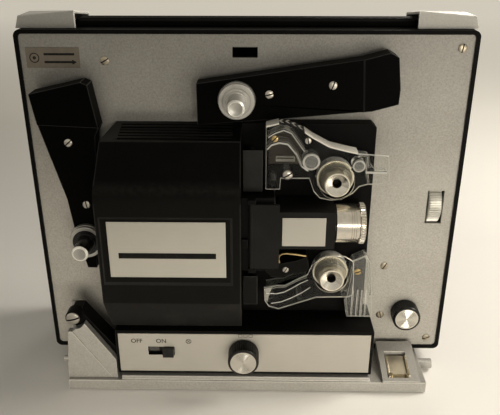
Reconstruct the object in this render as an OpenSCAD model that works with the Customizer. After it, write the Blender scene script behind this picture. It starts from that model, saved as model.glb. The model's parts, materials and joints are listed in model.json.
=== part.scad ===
// Table-top movie projector with folding reel arms, tilting body and self-threading film path.
// Millimetres. X to the lens side, Y to the back, Z up. Origin: bottom centre of the whole outline.

/* [Case] */
// Width of the black case rim
rim_w = 330; // [326:1:344]
// Height of the black case rim
rim_h = 267.8; // [266:0.2:280]
// Depth of the case rim behind the plate
rim_depth = 52; // [46:1:60]
// Distance from the plate's front face to the back of the case
case_depth = 82; // [76:1:100]
// Thickness of the main plate
plate_t = 2.5; // [2:0.1:3]
// Side wall of the case rim
rim_side = 3; // [2.2:0.1:3.6]
// Top wall of the case rim
rim_top_t = 3; // [2.6:0.1:4]
// How far the rim stands in front of the plate
rim_proud = 1.5; // [0.8:0.1:2.2]
// Wall of the rear case
rear_wall = 3; // [2.4:0.1:4]

/* [Base] */
// Thickness of the base deck and its skirt
base_wall = 3; // [2.4:0.1:3.6]
// Radius of a rubber foot
foot_r = 8; // [6:0.5:10]
// Height of the pad under the control box
pad_h = 3.4; // [2.4:0.1:3.8]

/* [Front housings] */
// Wall of the lamp house and the control box
house_wall = 2.5; // [2:0.1:2.8]
// Reach of the lamp house in front of the plate
lamp_front = 46; // [45:0.5:49]
// Depth of the plain recess that holds the front plate
recess_d = 1.2; // [0.8:0.1:1.4]
// Reach of the control box in front of the plate
box_front = 42; // [41:0.5:44]
// Thickness of the control panel
panel_t = 0.8; // [0.5:0.1:1.2]
// Reach of the film block in front of the plate
block_d = 11; // [10:0.5:12]

/* [Knobs and switch] */
// Radius of the framing knob
framing_r = 11.6; // [9:0.2:13]
// Length of the framing knob
framing_len = 16; // [12:0.5:18]
// Radius of the tilt knob
tilt_r = 11; // [9:0.2:12.5]
// Length of the tilt knob
tilt_len = 13.5; // [10:0.5:16]
// Travel of the slide switch
switch_travel = 11.5; // [8:0.5:11.5]

/* [Reel arms] */
// Thickness of a reel arm
arm_t = 14; // [12.5:0.5:14.5]
// Radius of a reel spindle
spindle_r = 6.2; // [4:0.1:6.4]
// Length of a reel spindle in front of its collar
spindle_len = 17; // [15:1:20]

/* [Film path] */
// Radius of a film sprocket at the tooth roots
sprocket_r = 13.5; // [12:0.5:14]
// Teeth on a film sprocket
sprocket_teeth = 12; // [10:1:16]
// Radius of the lens barrel
barrel_r = 14.6; // [13:0.1:15]
// Radius of the knurled lens ring
ring_r = 15.6; // [15.2:0.1:15.8]
// Thickness of the clear guide plates
guide_t = 2; // [1.5:0.1:2.5]
// Radius of the inching wheel
wheel_r = 18; // [17:0.2:18.4]

/* [Fits] */
// Radial clearance of a running shaft
run_fit = 0.06; // [0.03:0.01:0.1]
// Gap between faces that slide past each other
slide_gap = 0.3; // [0.2:0.05:0.4]

/* [Hidden] */
deck_z = 10;
foot_out = 1;
rim_z0 = 12;
rim_top = rim_z0 + rim_h;
half_w = rim_w / 2;
plate_x = half_w - rim_side;
plate_z0 = rim_z0 + rim_side;
plate_z1 = rim_top - rim_top_t;
plate_corner = 3;
rim_corner = 5;
cap_front = 4;
front_reach = box_front + framing_len;
plate_y = (front_reach - case_depth) / 2;
base_x0 = -half_w + 21.4;
base_x1 = half_w - 19.6;
ramp_x0 = half_w - 54.8;
ramp_x1 = half_w - 24.9;
base_front = box_front + 3.6;
base_back = case_depth - 10;
pivot_x = -half_w + 30.3;
pivot_z = 65.8;
pivot_r = 2.4;
lug_y = -(box_front - 6.3);
lug_t = 16;
bracket_leaf = 6;
boss_len = 5;
box_x0 = -half_w + 62;
box_x1 = half_w - 64;
box_z0 = plate_z0;
box_z1 = 55.5;
house_x0 = -half_w + 56;
house_x0b = house_x0 + 12;
house_x1 = -3;
axis_z = 143.5;
axis_y = -28;
shaft_y = 15;
shaft_z = 144.3;
shaft_r = 3;
wheel_x = half_w - 17.4;
wheel_half = 5.25;
slot_half = 6.45;
sprocket_x = 66;
upper_z = 176.5;
lower_z = 98;
sprocket_shaft_r = 4;
sprocket_back = -block_d - slide_gap;
sprocket_front = sprocket_back - 8;
hub_front = sprocket_front - 16.7;
hub_flange_r = sprocket_r + 0.3;
hub_base_r = sprocket_r - 0.7;
hub_tip_r = 9.1;
hub_hole_r = 3.5;
guide_hole_r = 12.8;
guide_back = -30;
guide_front = guide_back - guide_t;
tilt_x = half_w - 32.5;
tilt_z = 49;
pinion_r = 7;
leg_x = tilt_x + pinion_r + slide_gap;
leg_w = 5;
leg_y0 = 8;
leg_y1 = 16;
leg_z0 = deck_z + 0.5;
leg_z1 = 76;
arm_back = -5;
arm_front = arm_back - arm_t;
arm_wall = 2.5;
arm_cap = 1.2;
stud_r = 5;
stud_front = arm_front + 3;
supply_pivot = [88, 246];
supply_axis = [-6.2, 234.4];
take_pivot = [-half_w + 34, rim_top - 57.8];
take_axis = [take_pivot[0] + 8.6, take_pivot[1] - 97.8];
take_shift = [take_pivot[0] + 131, take_pivot[1] - 222];
spindle_shaft_r = 3;
collar_r = 13.6;
collar_t = 6.5;
step_t = 1.2;
framing_x = -1.5;
framing_z = 36.9;
switch_x1 = box_x0 + 46.2;
nub_w = 8.6;
nub_h = 7.4;
switch_z = 37;
door_x0 = 6.4;
door_y1 = -40;
door_z0 = 112;
door_z1 = 164;
column_front = -39.2;
knuckle_r = 1.8;
carrier_x0 = 25;
carrier_x1 = 65.5;
carrier_y0 = -43;
carrier_y1 = -13;
carrier_z0 = 128.5;
carrier_z1 = 158.5;
hinge_x = 4.6;
hinge_y = -41.5;
hinge_r = 1;
lens_bore_r = 10.5;
inlet_x0 = half_w - 70;
motor_y = 47;
motor_z = 62;
motor_shaft_r = 2.5;
pulley_x0 = 100;
pulley_x1 = 108;
pulley_r = 7;
motor_pulley_r = 7;
screw_r = 3.2;
rear_screw_x = plate_x - rear_wall - 6;
rear_screw_z0 = plate_z0 + rear_wall + 6;
rear_screw_z1 = plate_z1 - rear_wall - 6;
strip_line = [[14.5, 218.3], [23, 220.5], [30, 220], [41, 214.9], [47.3, 210.5], [59.5, 203.8],
    [71.3, 200.8], [79.5, 199]];

// Block between two corners, depth counted from the plate's front face.
module block(x0, x1, y0, y1, z0, z1) {
    translate([x0, plate_y + y0, z0]) cube([x1 - x0, y1 - y0, z1 - z0]);
}

// Round bar along the depth.
module bar_y(x, z, y0, y1, r) {
    translate([x, plate_y + y1, z]) rotate([90, 0, 0]) cylinder(h = y1 - y0, r = r, $fn = 64);
}

// Cone along the depth, r0 at the front and r1 at the back.
module cone_y(x, z, y0, y1, r0, r1) {
    translate([x, plate_y + y1, z]) rotate([90, 0, 0]) cylinder(h = y1 - y0, r1 = r1, r2 = r0, $fn = 64);
}

// Round bar along the width.
module bar_x(y, z, x0, x1, r) {
    translate([x0, plate_y + y, z]) rotate([0, 90, 0]) cylinder(h = x1 - x0, r = r, $fn = 64);
}

// Round bar along the height.
module bar_z(x, y, z0, z1, r) {
    translate([x, plate_y + y, z0]) cylinder(h = z1 - z0, r = r, $fn = 64);
}

// Outline drawn in width and height, pushed through the depth.
module front_shape(y0, y1) {
    translate([0, plate_y + y1, 0]) rotate([90, 0, 0]) linear_extrude(height = y1 - y0) children();
}

// Outline drawn in depth and height, pushed through the width.
module side_shape(x0, x1) {
    translate([x0, plate_y, 0]) rotate([90, 0, 90]) linear_extrude(height = x1 - x0) children();
}

// Outline drawn in width and depth, pushed through the height.
module plan_shape(z0, z1) {
    translate([0, plate_y, z0]) linear_extrude(height = z1 - z0) children();
}

// Rectangle with rounded corners.
module round_rect(x0, x1, z0, z1, r) {
    translate([x0 + r, z0]) square([x1 - x0 - 2 * r, z1 - z0]);
    translate([x0, z0 + r]) square([x1 - x0, z1 - z0 - 2 * r]);
    for (x = [x0 + r, x1 - r]) {
        for (z = [z0 + r, z1 - r]) {
            translate([x, z]) circle(r = r, $fn = 48);
        }
    }
}

// Unit direction from one point to the next.
function along(a, b) = (b - a) / norm(b - a);

// Direction of a line of points at point i.
function heading(pts, i) = along(pts[max(i - 1, 0)], pts[min(i + 1, len(pts) - 1)]);

// Outline of a band of width w along a line of points.
function band(pts, w) = concat(
    [for (i = [0 : len(pts) - 1]) pts[i] + w / 2 * [-heading(pts, i)[1], heading(pts, i)[0]]],
    [for (i = [len(pts) - 1 : -1 : 0]) pts[i] - w / 2 * [-heading(pts, i)[1], heading(pts, i)[0]]]);

// Base casting with its skirt, the pad under the control box and an end peg for the lid.
module base_tray() {
    color([0.72, 0.71, 0.68]) {
        difference() {
            union() {
                block(base_x0, base_x1, -base_front, base_back, foot_out, deck_z);
                block(box_x0 + 3, box_x1 - 1, -box_front - 2, -4, deck_z, deck_z + pad_h);
                bar_x(-14, foot_out + 4.6, base_x1, base_x1 + 11, 4.2);
            }
            block(base_x0 + base_wall, base_x1 - base_wall, -base_front + base_wall,
                base_back - base_wall, foot_out - 1, deck_z - base_wall);
        }
    }
}

// Two-leaf bracket that carries the body's pivot.
module hinge_bracket() {
    y_front = lug_y - slide_gap;
    y_rear = lug_y + lug_t + slide_gap;
    color([0.74, 0.73, 0.70]) {
        difference() {
            union() {
                front_shape(y_front - bracket_leaf, y_front)
                    polygon([[base_x0, deck_z], [pivot_x - 5.5, 53.8], [pivot_x - 2, 53.8],
                        [pivot_x + 8.4, 61.9], [pivot_x + 30.8, 27.4], [pivot_x + 30.8, deck_z]]);
                front_shape(y_rear, y_rear + 3)
                    polygon([[base_x0, deck_z], [base_x0, 56], [pivot_x - 7, pivot_z + 1.7],
                        [pivot_x + 5, pivot_z + 1.7], [pivot_x + 24, deck_z]]);
                block(base_x0, base_x0 + 3, y_front - bracket_leaf, y_rear + 3, deck_z, deck_z + 8);
            }
            bar_y(pivot_x, pivot_z, y_front - bracket_leaf - 1, y_front + 0.01, 9.6);
            bar_y(pivot_x, pivot_z, y_rear - 1, y_rear + 4, pivot_r);
            front_shape(y_front - bracket_leaf - 1, y_front - bracket_leaf + 0.5)
                polygon(band([[pivot_x - 2.4, 54.6], [pivot_x + 27.2, deck_z]], 0.5));
        }
        bar_x(y_front - 2, 26, base_x0 - 3, base_x0 + 2, 2);
    }
}

// Slotted pivot screw, tight in the bracket's rear leaf, the lug turns on its shank.
module pivot_screw() {
    head_y = lug_y - boss_len - slide_gap;
    color([0.62, 0.60, 0.55]) {
        difference() {
            union() {
                bar_y(pivot_x, pivot_z, head_y, lug_y + lug_t + slide_gap + 3, pivot_r);
                bar_y(pivot_x, pivot_z, head_y - 2.4, head_y, 5.2);
            }
            block(pivot_x - 6, pivot_x + 6, head_y - 3, head_y - 1.5, pivot_z - 0.6, pivot_z + 0.6);
        }
    }
}

// Height of the latch ramp's face at a depth.
function ramp_z(y) = deck_z + 1.5 + (y + base_front) * 0.25;

// Sloped latch ramp for the lid, with a window for its spring.
module latch_ramp() {
    x0 = ramp_x0;
    x1 = ramp_x1;
    color([0.73, 0.72, 0.69]) {
        difference() {
            side_shape(x0, x1)
                polygon([[-base_front, deck_z], [-base_front, ramp_z(-base_front)], [-5, ramp_z(-5)],
                    [-5, deck_z]]);
            block(x0 + 5.4, x1 - 7.2, -box_front, -16, deck_z + 1.2, 25);
        }
    }
}

// Bronze leaf spring in the ramp's window, its two raised sides and their rivet heads.
module latch_spring() {
    x0 = ramp_x0 + 5.4;
    x1 = ramp_x1 - 7.2;
    z0 = deck_z + 1.2;
    y0 = -box_front;
    color([0.62, 0.45, 0.22]) {
        block(x0, x1, y0, -20, z0, z0 + 0.6);
        for (x = [x0, x1 - 1.5]) {
            side_shape(x, x + 1.5)
                polygon([[y0, z0 + 0.6], [y0, ramp_z(y0) + 0.5], [-20, ramp_z(-20) + 0.5], [-20, z0 + 0.6]]);
        }
        for (x = [x0 + 1.8, x1 - 1.8]) {
            bar_z(x, y0 + 2.4, z0 + 0.6, ramp_z(y0) + 1.7, 1.8);
        }
    }
}

// Four rubber feet seated under the deck.
module rubber_feet() {
    color([0.08, 0.08, 0.08]) {
        for (x = [base_x0 + 16, base_x1 - 16]) {
            for (y = [-base_front + 14, base_back - 14]) {
                bar_z(x, y, 0, deck_z - base_wall, foot_r);
            }
        }
    }
}

// Main plate with its cut-outs, the two arm studs and the guide of the tilt leg.
module main_plate() {
    color([0.70, 0.68, 0.63]) {
        difference() {
            union() {
                front_shape(0, plate_t) round_rect(-plate_x, plate_x, plate_z0, plate_z1, plate_corner);
                for (p = [supply_pivot, take_pivot]) {
                    bar_y(p[0], p[1], arm_back + slide_gap, 0, 11);
                    bar_y(p[0], p[1], stud_front, 0, stud_r);
                }
                block(leg_x + leg_w + slide_gap, leg_x + leg_w + slide_gap + 3, plate_t,
                    leg_y1 + slide_gap + 3, 36, 62);
                block(leg_x - 3, leg_x + leg_w + slide_gap, leg_y1 + slide_gap, leg_y1 + slide_gap + 3,
                    36, 62);
            }
            block(-9.7, 8.4, -1, plate_t + 1, rim_top - 19.6, rim_top - 12.1);
            block(wheel_x - slot_half, wheel_x + slot_half, -1, plate_t + 1, shaft_z - 13.9,
                shaft_z + 13.9);
            block(house_x0b + 7, house_x1 - house_wall, -1, plate_t + 1, 92, 198);
            for (z = [upper_z, lower_z]) {
                bar_y(sprocket_x, z, -1, plate_t + 1, sprocket_shaft_r + run_fit);
            }
            bar_y(tilt_x, tilt_z, -1, plate_t + 1, 3 + run_fit);
        }
    }
}

// Black rim round the plate, with a slot in its floor for the tilt leg.
module case_rim() {
    color([0.06, 0.06, 0.06]) {
        difference() {
            front_shape(-rim_proud, rim_depth) round_rect(-half_w, half_w, rim_z0, rim_top, rim_corner);
            front_shape(-rim_proud - 1, rim_depth + 1) round_rect(-plate_x, plate_x, plate_z0,
                plate_z1, plate_corner);
            block(leg_x - slide_gap, leg_x + leg_w + slide_gap, leg_y0 - slide_gap, leg_y1 + slide_gap,
                rim_z0 - 1, plate_z0 + 1);
        }
    }
}

// Rear case, plugged into the rim, with four screw bosses.
module rear_case() {
    y0 = rim_depth - 12;
    xi = plate_x - rear_wall;
    z0 = plate_z0 + rear_wall;
    z1 = plate_z1 - rear_wall;
    boss_y = case_depth - 3;
    color([0.07, 0.07, 0.07]) {
        difference() {
            union() {
                difference() {
                    front_shape(y0, case_depth)
                        round_rect(-plate_x, plate_x, plate_z0, plate_z1, plate_corner);
                    block(-xi, xi, y0 - 1, case_depth + 1, z0, z1);
                }
                for (x = [-xi, xi - 12]) {
                    for (z = [z0, z1 - 12]) {
                        block(x, x + 12, boss_y - 13, boss_y, z, z + 12);
                    }
                }
            }
            for (x = [-rear_screw_x, rear_screw_x]) {
                for (z = [rear_screw_z0, rear_screw_z1]) {
                    bar_y(x, z, boss_y - 9, boss_y + 1, 1.6);
                }
            }
        }
    }
}

// Back cover with two groups of vents and the inlet's opening.
module rear_cover() {
    xi = plate_x - rear_wall;
    z0 = plate_z0 + rear_wall;
    z1 = plate_z1 - rear_wall;
    y0 = case_depth - 3;
    color([0.08, 0.08, 0.08]) {
        difference() {
            block(-xi, xi, y0, case_depth, z0, z1);
            for (i = [0 : 7]) {
                block(-95, -15, y0 - 1, case_depth + 1, 150 + i * 10, 154.5 + i * 10);
                block(-85, -35, y0 - 1, case_depth + 1, 46 + i * 6, 48.6 + i * 6);
            }
            block(inlet_x0, inlet_x0 + 30, y0 - 1, case_depth + 1, 30, 50);
            for (x = [-rear_screw_x, rear_screw_x]) {
                for (z = [rear_screw_z0, rear_screw_z1]) {
                    bar_y(x, z, y0 - 1, case_depth + 1, 1.6);
                    bar_y(x, z, case_depth - 1.5, case_depth + 1, screw_r);
                }
            }
        }
    }
}

// Four screws of the back cover, heads sunk flush.
module rear_screws() {
    color([0.55, 0.54, 0.50]) {
        difference() {
            for (x = [-rear_screw_x, rear_screw_x]) {
                for (z = [rear_screw_z0, rear_screw_z1]) {
                    bar_y(x, z, case_depth - 12, case_depth - 1.5, 1.6);
                    bar_y(x, z, case_depth - 1.5, case_depth, screw_r);
                }
            }
            for (x = [-rear_screw_x, rear_screw_x]) {
                for (z = [rear_screw_z0, rear_screw_z1]) {
                    block(x - 4, x + 4, case_depth - 0.7, case_depth + 1, z - 0.5, z + 0.5);
                }
            }
        }
    }
}

// Recessed mains inlet with two contact pins.
module power_inlet() {
    color([0.09, 0.09, 0.09]) {
        difference() {
            block(inlet_x0, inlet_x0 + 30, case_depth - 18, case_depth, 30, 50);
            block(inlet_x0 + 3, inlet_x0 + 27, case_depth - 13, case_depth + 1, 33, 47);
        }
        for (x = [inlet_x0 + 6.5, inlet_x0 + 23.5]) {
            bar_y(x, 40, case_depth - 13, case_depth - 3, 1.8);
        }
    }
}

// Screws and eyelets on the front of the plate.
module plate_screws() {
    spots = [[-half_w + 63.4, rim_top - 22], [half_w - 11.5, rim_top - 12.5], [112.6, 91.8],
        [tilt_x - 19.7, tilt_z - 4],
        [half_w - 11.1, 22.3]];
    color([0.55, 0.48, 0.34]) {
        difference() {
            for (p = spots) {
                bar_y(p[0], p[1], -1.1, 0, screw_r);
            }
            for (p = spots) {
                block(p[0] - 4, p[0] + 4, -2, -0.6, p[1] - 0.5, p[1] + 0.5);
            }
        }
    }
}

// One hollow end cap of the carrying strap, drawn for the right side.
module strap_cap() {
    x0 = half_w - 43.5;
    x1 = half_w - 0.4;
    difference() {
        intersection() {
            front_shape(cap_front, 47)
                polygon([[x0, rim_top], [x1, rim_top], [x1 - 2.7, rim_top + 8.8], [x0, rim_top + 12.4]]);
            side_shape(x0 - 1, x1 + 1)
                polygon([[cap_front - 1, rim_top - 1], [cap_front - 1, rim_top + 12.6],
                    [cap_front, rim_top + 12.4],
                    [47, rim_top + 6.4], [48, rim_top - 1]]);
        }
        intersection() {
            front_shape(cap_front + 2.5, 44.5)
                polygon([[x0 - 1, rim_top - 1], [x1 - 6, rim_top - 1], [x1 - 6, rim_top + 7.1],
                    [x0 - 1, rim_top + 10.4]]);
            side_shape(x0 - 2, x1 + 1)
                polygon([[cap_front + 2, rim_top - 2], [cap_front + 2, rim_top + 9.9], [45, rim_top + 4.4],
                    [45, rim_top - 2]]);
        }
    }
}

// Both hollow end caps on top of the rim.
module strap_caps() {
    color([0.75, 0.74, 0.71]) {
        strap_cap();
        mirror([1, 0, 0]) strap_cap();
    }
}

// Control box with its switch slot, knob hole and the pivot lug at its left.
module control_box() {
    w = house_wall;
    color([0.06, 0.06, 0.06]) {
        difference() {
            union() {
                block(box_x0, box_x1, -box_front, 0, box_z0, box_z1);
                front_shape(lug_y, lug_y + lug_t)
                    polygon([[pivot_x - 4.6, pivot_z - 4], [pivot_x - 3.2, pivot_z + 2.9],
                        [pivot_x + 0.4, pivot_z + 3.6], [pivot_x + 5, pivot_z + 3.4],
                        [box_x0, 33.2], [box_x0, 20], [box_x0 - 8, 20]]);
                bar_y(pivot_x, pivot_z, lug_y - boss_len, lug_y + 4, 6.2);
            }
            block(box_x0 + w, box_x1 - w, -box_front + w, 1, box_z0 + w, box_z1 - w);
            block(switch_x1 - nub_w - switch_travel - 0.4, switch_x1 + 0.4, -box_front - 1,
                -box_front + w + 1,
                switch_z - nub_h / 2 - slide_gap, switch_z + nub_h / 2 + slide_gap);
            bar_y(framing_x, framing_z, -box_front - 1, -box_front + w + 1, 3 + run_fit);
            bar_y(pivot_x, pivot_z, lug_y - boss_len - 1, lug_y + lug_t + 1, pivot_r + run_fit);
        }
    }
}

// Brushed control panel on the box's front.
module control_panel() {
    color([0.80, 0.79, 0.75]) {
        difference() {
            block(box_x0 + 2.4, box_x1 - 2.7, -box_front - panel_t, -box_front, box_z0 + 2.6,
                box_z1 - 2.3);
            block(switch_x1 - nub_w - switch_travel - 0.4, switch_x1 + 0.4, -box_front - panel_t - 1,
                -box_front + 1,
                switch_z - nub_h / 2 - slide_gap, switch_z + nub_h / 2 + slide_gap);
            bar_y(framing_x, framing_z, -box_front - panel_t - 1, -box_front + 1, 3 + run_fit);
        }
    }
}

// Side outline of the lamp house, drawn in by a wall thickness.
module house_side(w) {
    polygon([[1, 213.5 - w], [-29 + w * 0.4, 207 - w], [-lamp_front + w, 172 - w * 0.4],
        [-lamp_front + w, 83 + w * 0.4],
        [-lamp_front + 11 + w, box_z1 - (w > 0 ? 1 : 0)], [1, box_z1 - (w > 0 ? 1 : 0)]]);
}

// Plan outline of the lamp house, flared to the front.
module house_plan(w) {
    polygon([[house_x0b + w, 1], [house_x0b + w, 0], [house_x0 + w, -lamp_front - 1],
        [house_x1 - w, -lamp_front - 1],
        [house_x1 - w, 1]]);
}

// Lamp house with louvres in its roof, a recess in its front and the light port to the gate.
module lamp_house() {
    w = house_wall;
    color([0.06, 0.06, 0.06]) {
        difference() {
            intersection() {
                side_shape(house_x0 - 2, house_x1) house_side(0);
                plan_shape(box_z1, 214) house_plan(0);
                block(house_x0 - 2, house_x1 + 1, -lamp_front - 2, 0, 50, 220);
            }
            intersection() {
                side_shape(house_x0 - 2, house_x1 + 1) house_side(w);
                plan_shape(box_z1 - 2, 214) house_plan(w);
            }
            for (i = [0 : 5]) {
                block(house_x0b + 5, house_x1 - 6, -6.2 - i * 4.1, -4 - i * 4.1, 200, 220);
            }
            block(house_x0 + 3, house_x1 - 7, -lamp_front - 1, -lamp_front + recess_d, 100, 154);
            block(house_x1 - w - 1, house_x1 + 1, axis_y - 6, axis_y + 6, axis_z - 6, axis_z + 6);
        }
    }
}

// Brushed plate in the lamp house's recess, left bare.
module name_plate() {
    color([0.80, 0.77, 0.70])
        block(house_x0 + 8.4, house_x1 - 11.2, -lamp_front + recess_d - 0.8, -lamp_front + recess_d,
            105.6, 151);
}

// Tubular lamp with an inner reflector, base down.
module lamp() {
    color([0.85, 0.85, 0.80]) {
        bar_z(-45, axis_y, 96, 168, 13);
        translate([-45, plate_y + axis_y, 168]) cylinder(h = 7, r1 = 13, r2 = 7, $fn = 64);
        bar_z(-45, axis_y, 80, 96, 10);
    }
}

// Ceramic lamp socket on the control box's roof.
module lamp_socket() {
    color([0.80, 0.76, 0.68])
        block(-58, -32, axis_y - 3.5, axis_y + 14, box_z1, 80);
}

// Film block with the gate column, the light tunnel and the two hinge ears of the lens carrier.
module film_block() {
    color([0.07, 0.07, 0.07]) {
        difference() {
            union() {
                front_shape(-block_d, 0)
                    polygon([[house_x1, box_z1], [95.5, box_z1], [95.5, 212], [92.5, 215],
                        [house_x1, 215]]);
                block(house_x1, 21, column_front, -block_d, door_z0 - 3.5, door_z1 + 3.5);
                for (z = [door_z0 - 3.5, door_z1 + slide_gap]) {
                    block(hinge_x - 2.4, hinge_x + 3, hinge_y - 2, column_front, z, z + 3.2);
                }
                bar_z(hinge_x, hinge_y, door_z0 - 3, door_z1 + 3, hinge_r);
                block(house_x1, 2, hinge_y - 1, column_front, 129, 136);
            }
            block(house_x1 - 1, 22, axis_y - 6, axis_y + 6, axis_z - 6, axis_z + 6);
            for (z = [upper_z, lower_z]) {
                bar_y(sprocket_x, z, -block_d - 1, 1, sprocket_shaft_r + run_fit);
            }
        }
    }
}

// Steel aperture plate on the gate column.
module aperture_plate() {
    color([0.60, 0.60, 0.60]) {
        difference() {
            block(21, 22, -36, -14, 112, 164);
            block(20, 23, axis_y - 2.65, axis_y + 2.65, axis_z - 2, axis_z + 2);
        }
    }
}

// Grey light shield on two posts above the gate.
module light_shield() {
    color([0.35, 0.35, 0.36]) {
        block(-1.7, 12.4, -30, -28.5, 169, 200.5);
        block(-1.7, 9, -30, -28.5, 73, 98);
        for (z = [80, 92, 176, 194]) {
            bar_y(4.4, z, -28.5, -block_d, 2.5);
        }
    }
}

// Small label plate at the upper left, left without words.
module rewind_plate() {
    color([0.52, 0.48, 0.43])
        block(-half_w + 7, -half_w + 45.5, -0.6, 0, rim_top - 27.2, rim_top - 12.8);
}

// Motor can on a foot behind the plate.
module motor_can() {
    color([0.35, 0.35, 0.34]) {
        difference() {
            union() {
                bar_x(motor_y, motor_z, -50, 20, 22);
                block(-40, 10, plate_t, motor_y - 19, motor_z - 7, motor_z + 7);
            }
            bar_x(motor_y, motor_z, -51, 21, motor_shaft_r + run_fit);
        }
    }
}

// Two bearing posts of the main shaft behind the plate.
module shaft_posts() {
    color([0.55, 0.52, 0.45]) {
        difference() {
            for (x = [3, 118]) {
                block(x, x + 7, plate_t, shaft_y + 8, shaft_z - 8, shaft_z + 8);
            }
            bar_x(shaft_y, shaft_z, 0, 130, shaft_r + run_fit);
        }
    }
}

// Belt from the motor pulley to the main shaft.
module drive_belt() {
    gap = 0.2;
    color([0.10, 0.10, 0.10]) {
        difference() {
            hull() {
                bar_x(motor_y, motor_z, pulley_x0 + 2, pulley_x1 - 2, motor_pulley_r + gap + 1.6);
                bar_x(shaft_y, shaft_z, pulley_x0 + 2, pulley_x1 - 2, pulley_r + gap + 1.6);
            }
            hull() {
                bar_x(motor_y, motor_z, pulley_x0 + 1, pulley_x1 - 1, motor_pulley_r + gap);
                bar_x(shaft_y, shaft_z, pulley_x0 + 1, pulley_x1 - 1, pulley_r + gap);
            }
        }
    }
}

// Slide switch body behind the panel, seated on the box's front wall by two lugs.
module switch_body() {
    y0 = -box_front + house_wall;
    x0 = switch_x1 - nub_w - switch_travel - 20;
    x1 = switch_x1 + 14;
    color([0.30, 0.22, 0.14]) {
        block(x0, x1, y0 + 3, y0 + 18, switch_z - 8, switch_z + 8);
        block(x0, x0 + 5, y0, y0 + 3, switch_z - 8, switch_z + 8);
        block(x1 - 5, x1, y0, y0 + 3, switch_z - 8, switch_z + 8);
    }
}

// Clear exit chute on the film block.
module film_chute() {
    color([0.85, 0.88, 0.88]) {
        difference() {
            front_shape(-block_d - 11, -block_d)
                polygon([[81, 57], [101.5, 57], [97.4, 106], [93.3, 113], [83, 108], [78.5, 72]]);
            front_shape(-block_d - 9.5, -block_d + 1)
                polygon([[82.6, 56], [99.9, 56], [95.9, 105.4], [92.5, 111], [84.4, 107], [80.1, 72]]);
            block(96, 103, -block_d - 9.5, -block_d + 1, 56, 76);
        }
        for (x = [84.2, 88.2, 91.6, 95]) {
            block(x, x + 1.1, -block_d - 11.8, -block_d - 11, 57.6, 82);
        }
    }
}

// Clear upper guide: front plate, two roller pins, three posts and an arched rib.
module upper_guide() {
    color([0.85, 0.88, 0.88]) {
        difference() {
            front_shape(guide_front, guide_back)
                polygon(concat(strip_line, [[101.9, 197.3], [103.6, 178.3], [95, 175.7], [88.6, 175.7],
                    [82.4, 173.9], [77.9, 168.6], [70.1, 163.8], [62.1, 163.1], [53.9, 164.9],
                    [49.5, 170], [46, 180],
                    [25.5, 180], [25, 171.5], [14.7, 171.5]]));
            bar_y(sprocket_x, upper_z, guide_front - 1, guide_back + 1, guide_hole_r);
        }
        for (p = [[20, 176], [30, 183], [90, 186]]) {
            bar_y(p[0], p[1], guide_back, -block_d, 2.4);
        }
        front_shape(guide_back, guide_back + 12) polygon(band([[16.1, 210.9], [20.7, 213.9], [26.8, 216.4],
            [32.6, 213.9], [37.5, 207], [42.1, 200.6]], 1.3));
        front_shape(guide_back, guide_back + 12) polygon(band([[15.4, 202.1], [18.5, 205.4], [24, 207.1],
            [30.2, 206], [36.7, 198.1], [40.4, 189.5], [45, 186.2]], 1.5));
        block(21.8, 35, guide_back, guide_back + 4, 193, 195.5);
        block(88.4, 101.4, guide_back, guide_back + 10, 184.2, 185.6);
        front_shape(guide_back, guide_back + 10) polygon(band([[80.5, 197.2], [87.4, 196.6], [87.4, 186],
            [88.8, 176.4]], 1));
        difference() {
            union() {
                bar_y(46.8, 193.6, guide_front - 1.6, guide_back + 6, 6.3);
                bar_y(80.8, 190.6, guide_front - 1.6, guide_back + 6, 4.6);
            }
            bar_y(46.8, 193.6, guide_front - 2, guide_front - 0.4, 4.6);
            bar_y(80.8, 190.6, guide_front - 2, guide_front - 0.4, 3.2);
        }
    }
}

// Marked strip on the upper guide's top edge.
module upper_strip() {
    color([0.90, 0.88, 0.82])
        front_shape(guide_front - 1, guide_back + 9)
            polygon(concat(strip_line, [for (i = [len(strip_line) - 1 : -1 : 0]) strip_line[i] + [0.3,
                1.1]]));
}

// Clear lower guide: front plate and three posts.
module lower_guide() {
    color([0.85, 0.88, 0.88]) {
        difference() {
            front_shape(guide_front, guide_back)
                polygon([[14.8, 77.5], [14.2, 89.3], [23.7, 91.3], [30, 91], [40, 97], [47.5, 101],
                    [50.5, 109],
                    [57, 115.5], [66, 118], [76, 116.5], [82, 112.6], [83, 104], [83.6, 86], [82.9, 82.8],
                    [80.2, 81.2], [55, 80.6],
                    [25.8, 69.7], [17.9, 72.1]]);
            bar_y(sprocket_x, lower_z, guide_front - 1, guide_back + 1, guide_hole_r);
        }
        for (p = [[20, 81], [42, 80], [76.6, 83.4]]) {
            bar_y(p[0], p[1], guide_back, -block_d, 2.4);
        }
        front_shape(guide_back, guide_back + 12) polygon(band([[16, 87.6], [24, 89.4], [30, 89.6],
            [40, 95.4],
            [46.6, 98.2]], 1.5));
    }
}

// Dark loop former behind the lower guide, standing on the film block.
module lower_shoe() {
    color([0.12, 0.11, 0.10])
        front_shape(guide_front, -block_d)
            polygon([[15.2, 103.5], [17, 106.8], [22, 108.2], [25.9, 110.4], [39, 113.2],
                [46.5, 116.5], [48.5, 108], [46.5, 103.6],
                [38, 102.3], [27.8, 98.8], [20, 99]]);
}

// Carrying strap: thick middle, thin ends inside the caps.
module handle_strap() {
    z0 = rim_top + 0.2;
    xm = half_w - 43.5 - 0.6;
    color([0.05, 0.05, 0.05]) {
        block(-xm, xm, 12, 34, z0, z0 + 6);
        block(-xm - 26, -xm, 14.5, 30, z0, z0 + 2.8);
        block(xm, xm + 26, 14.5, 30, z0, z0 + 2.8);
    }
}

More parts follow.
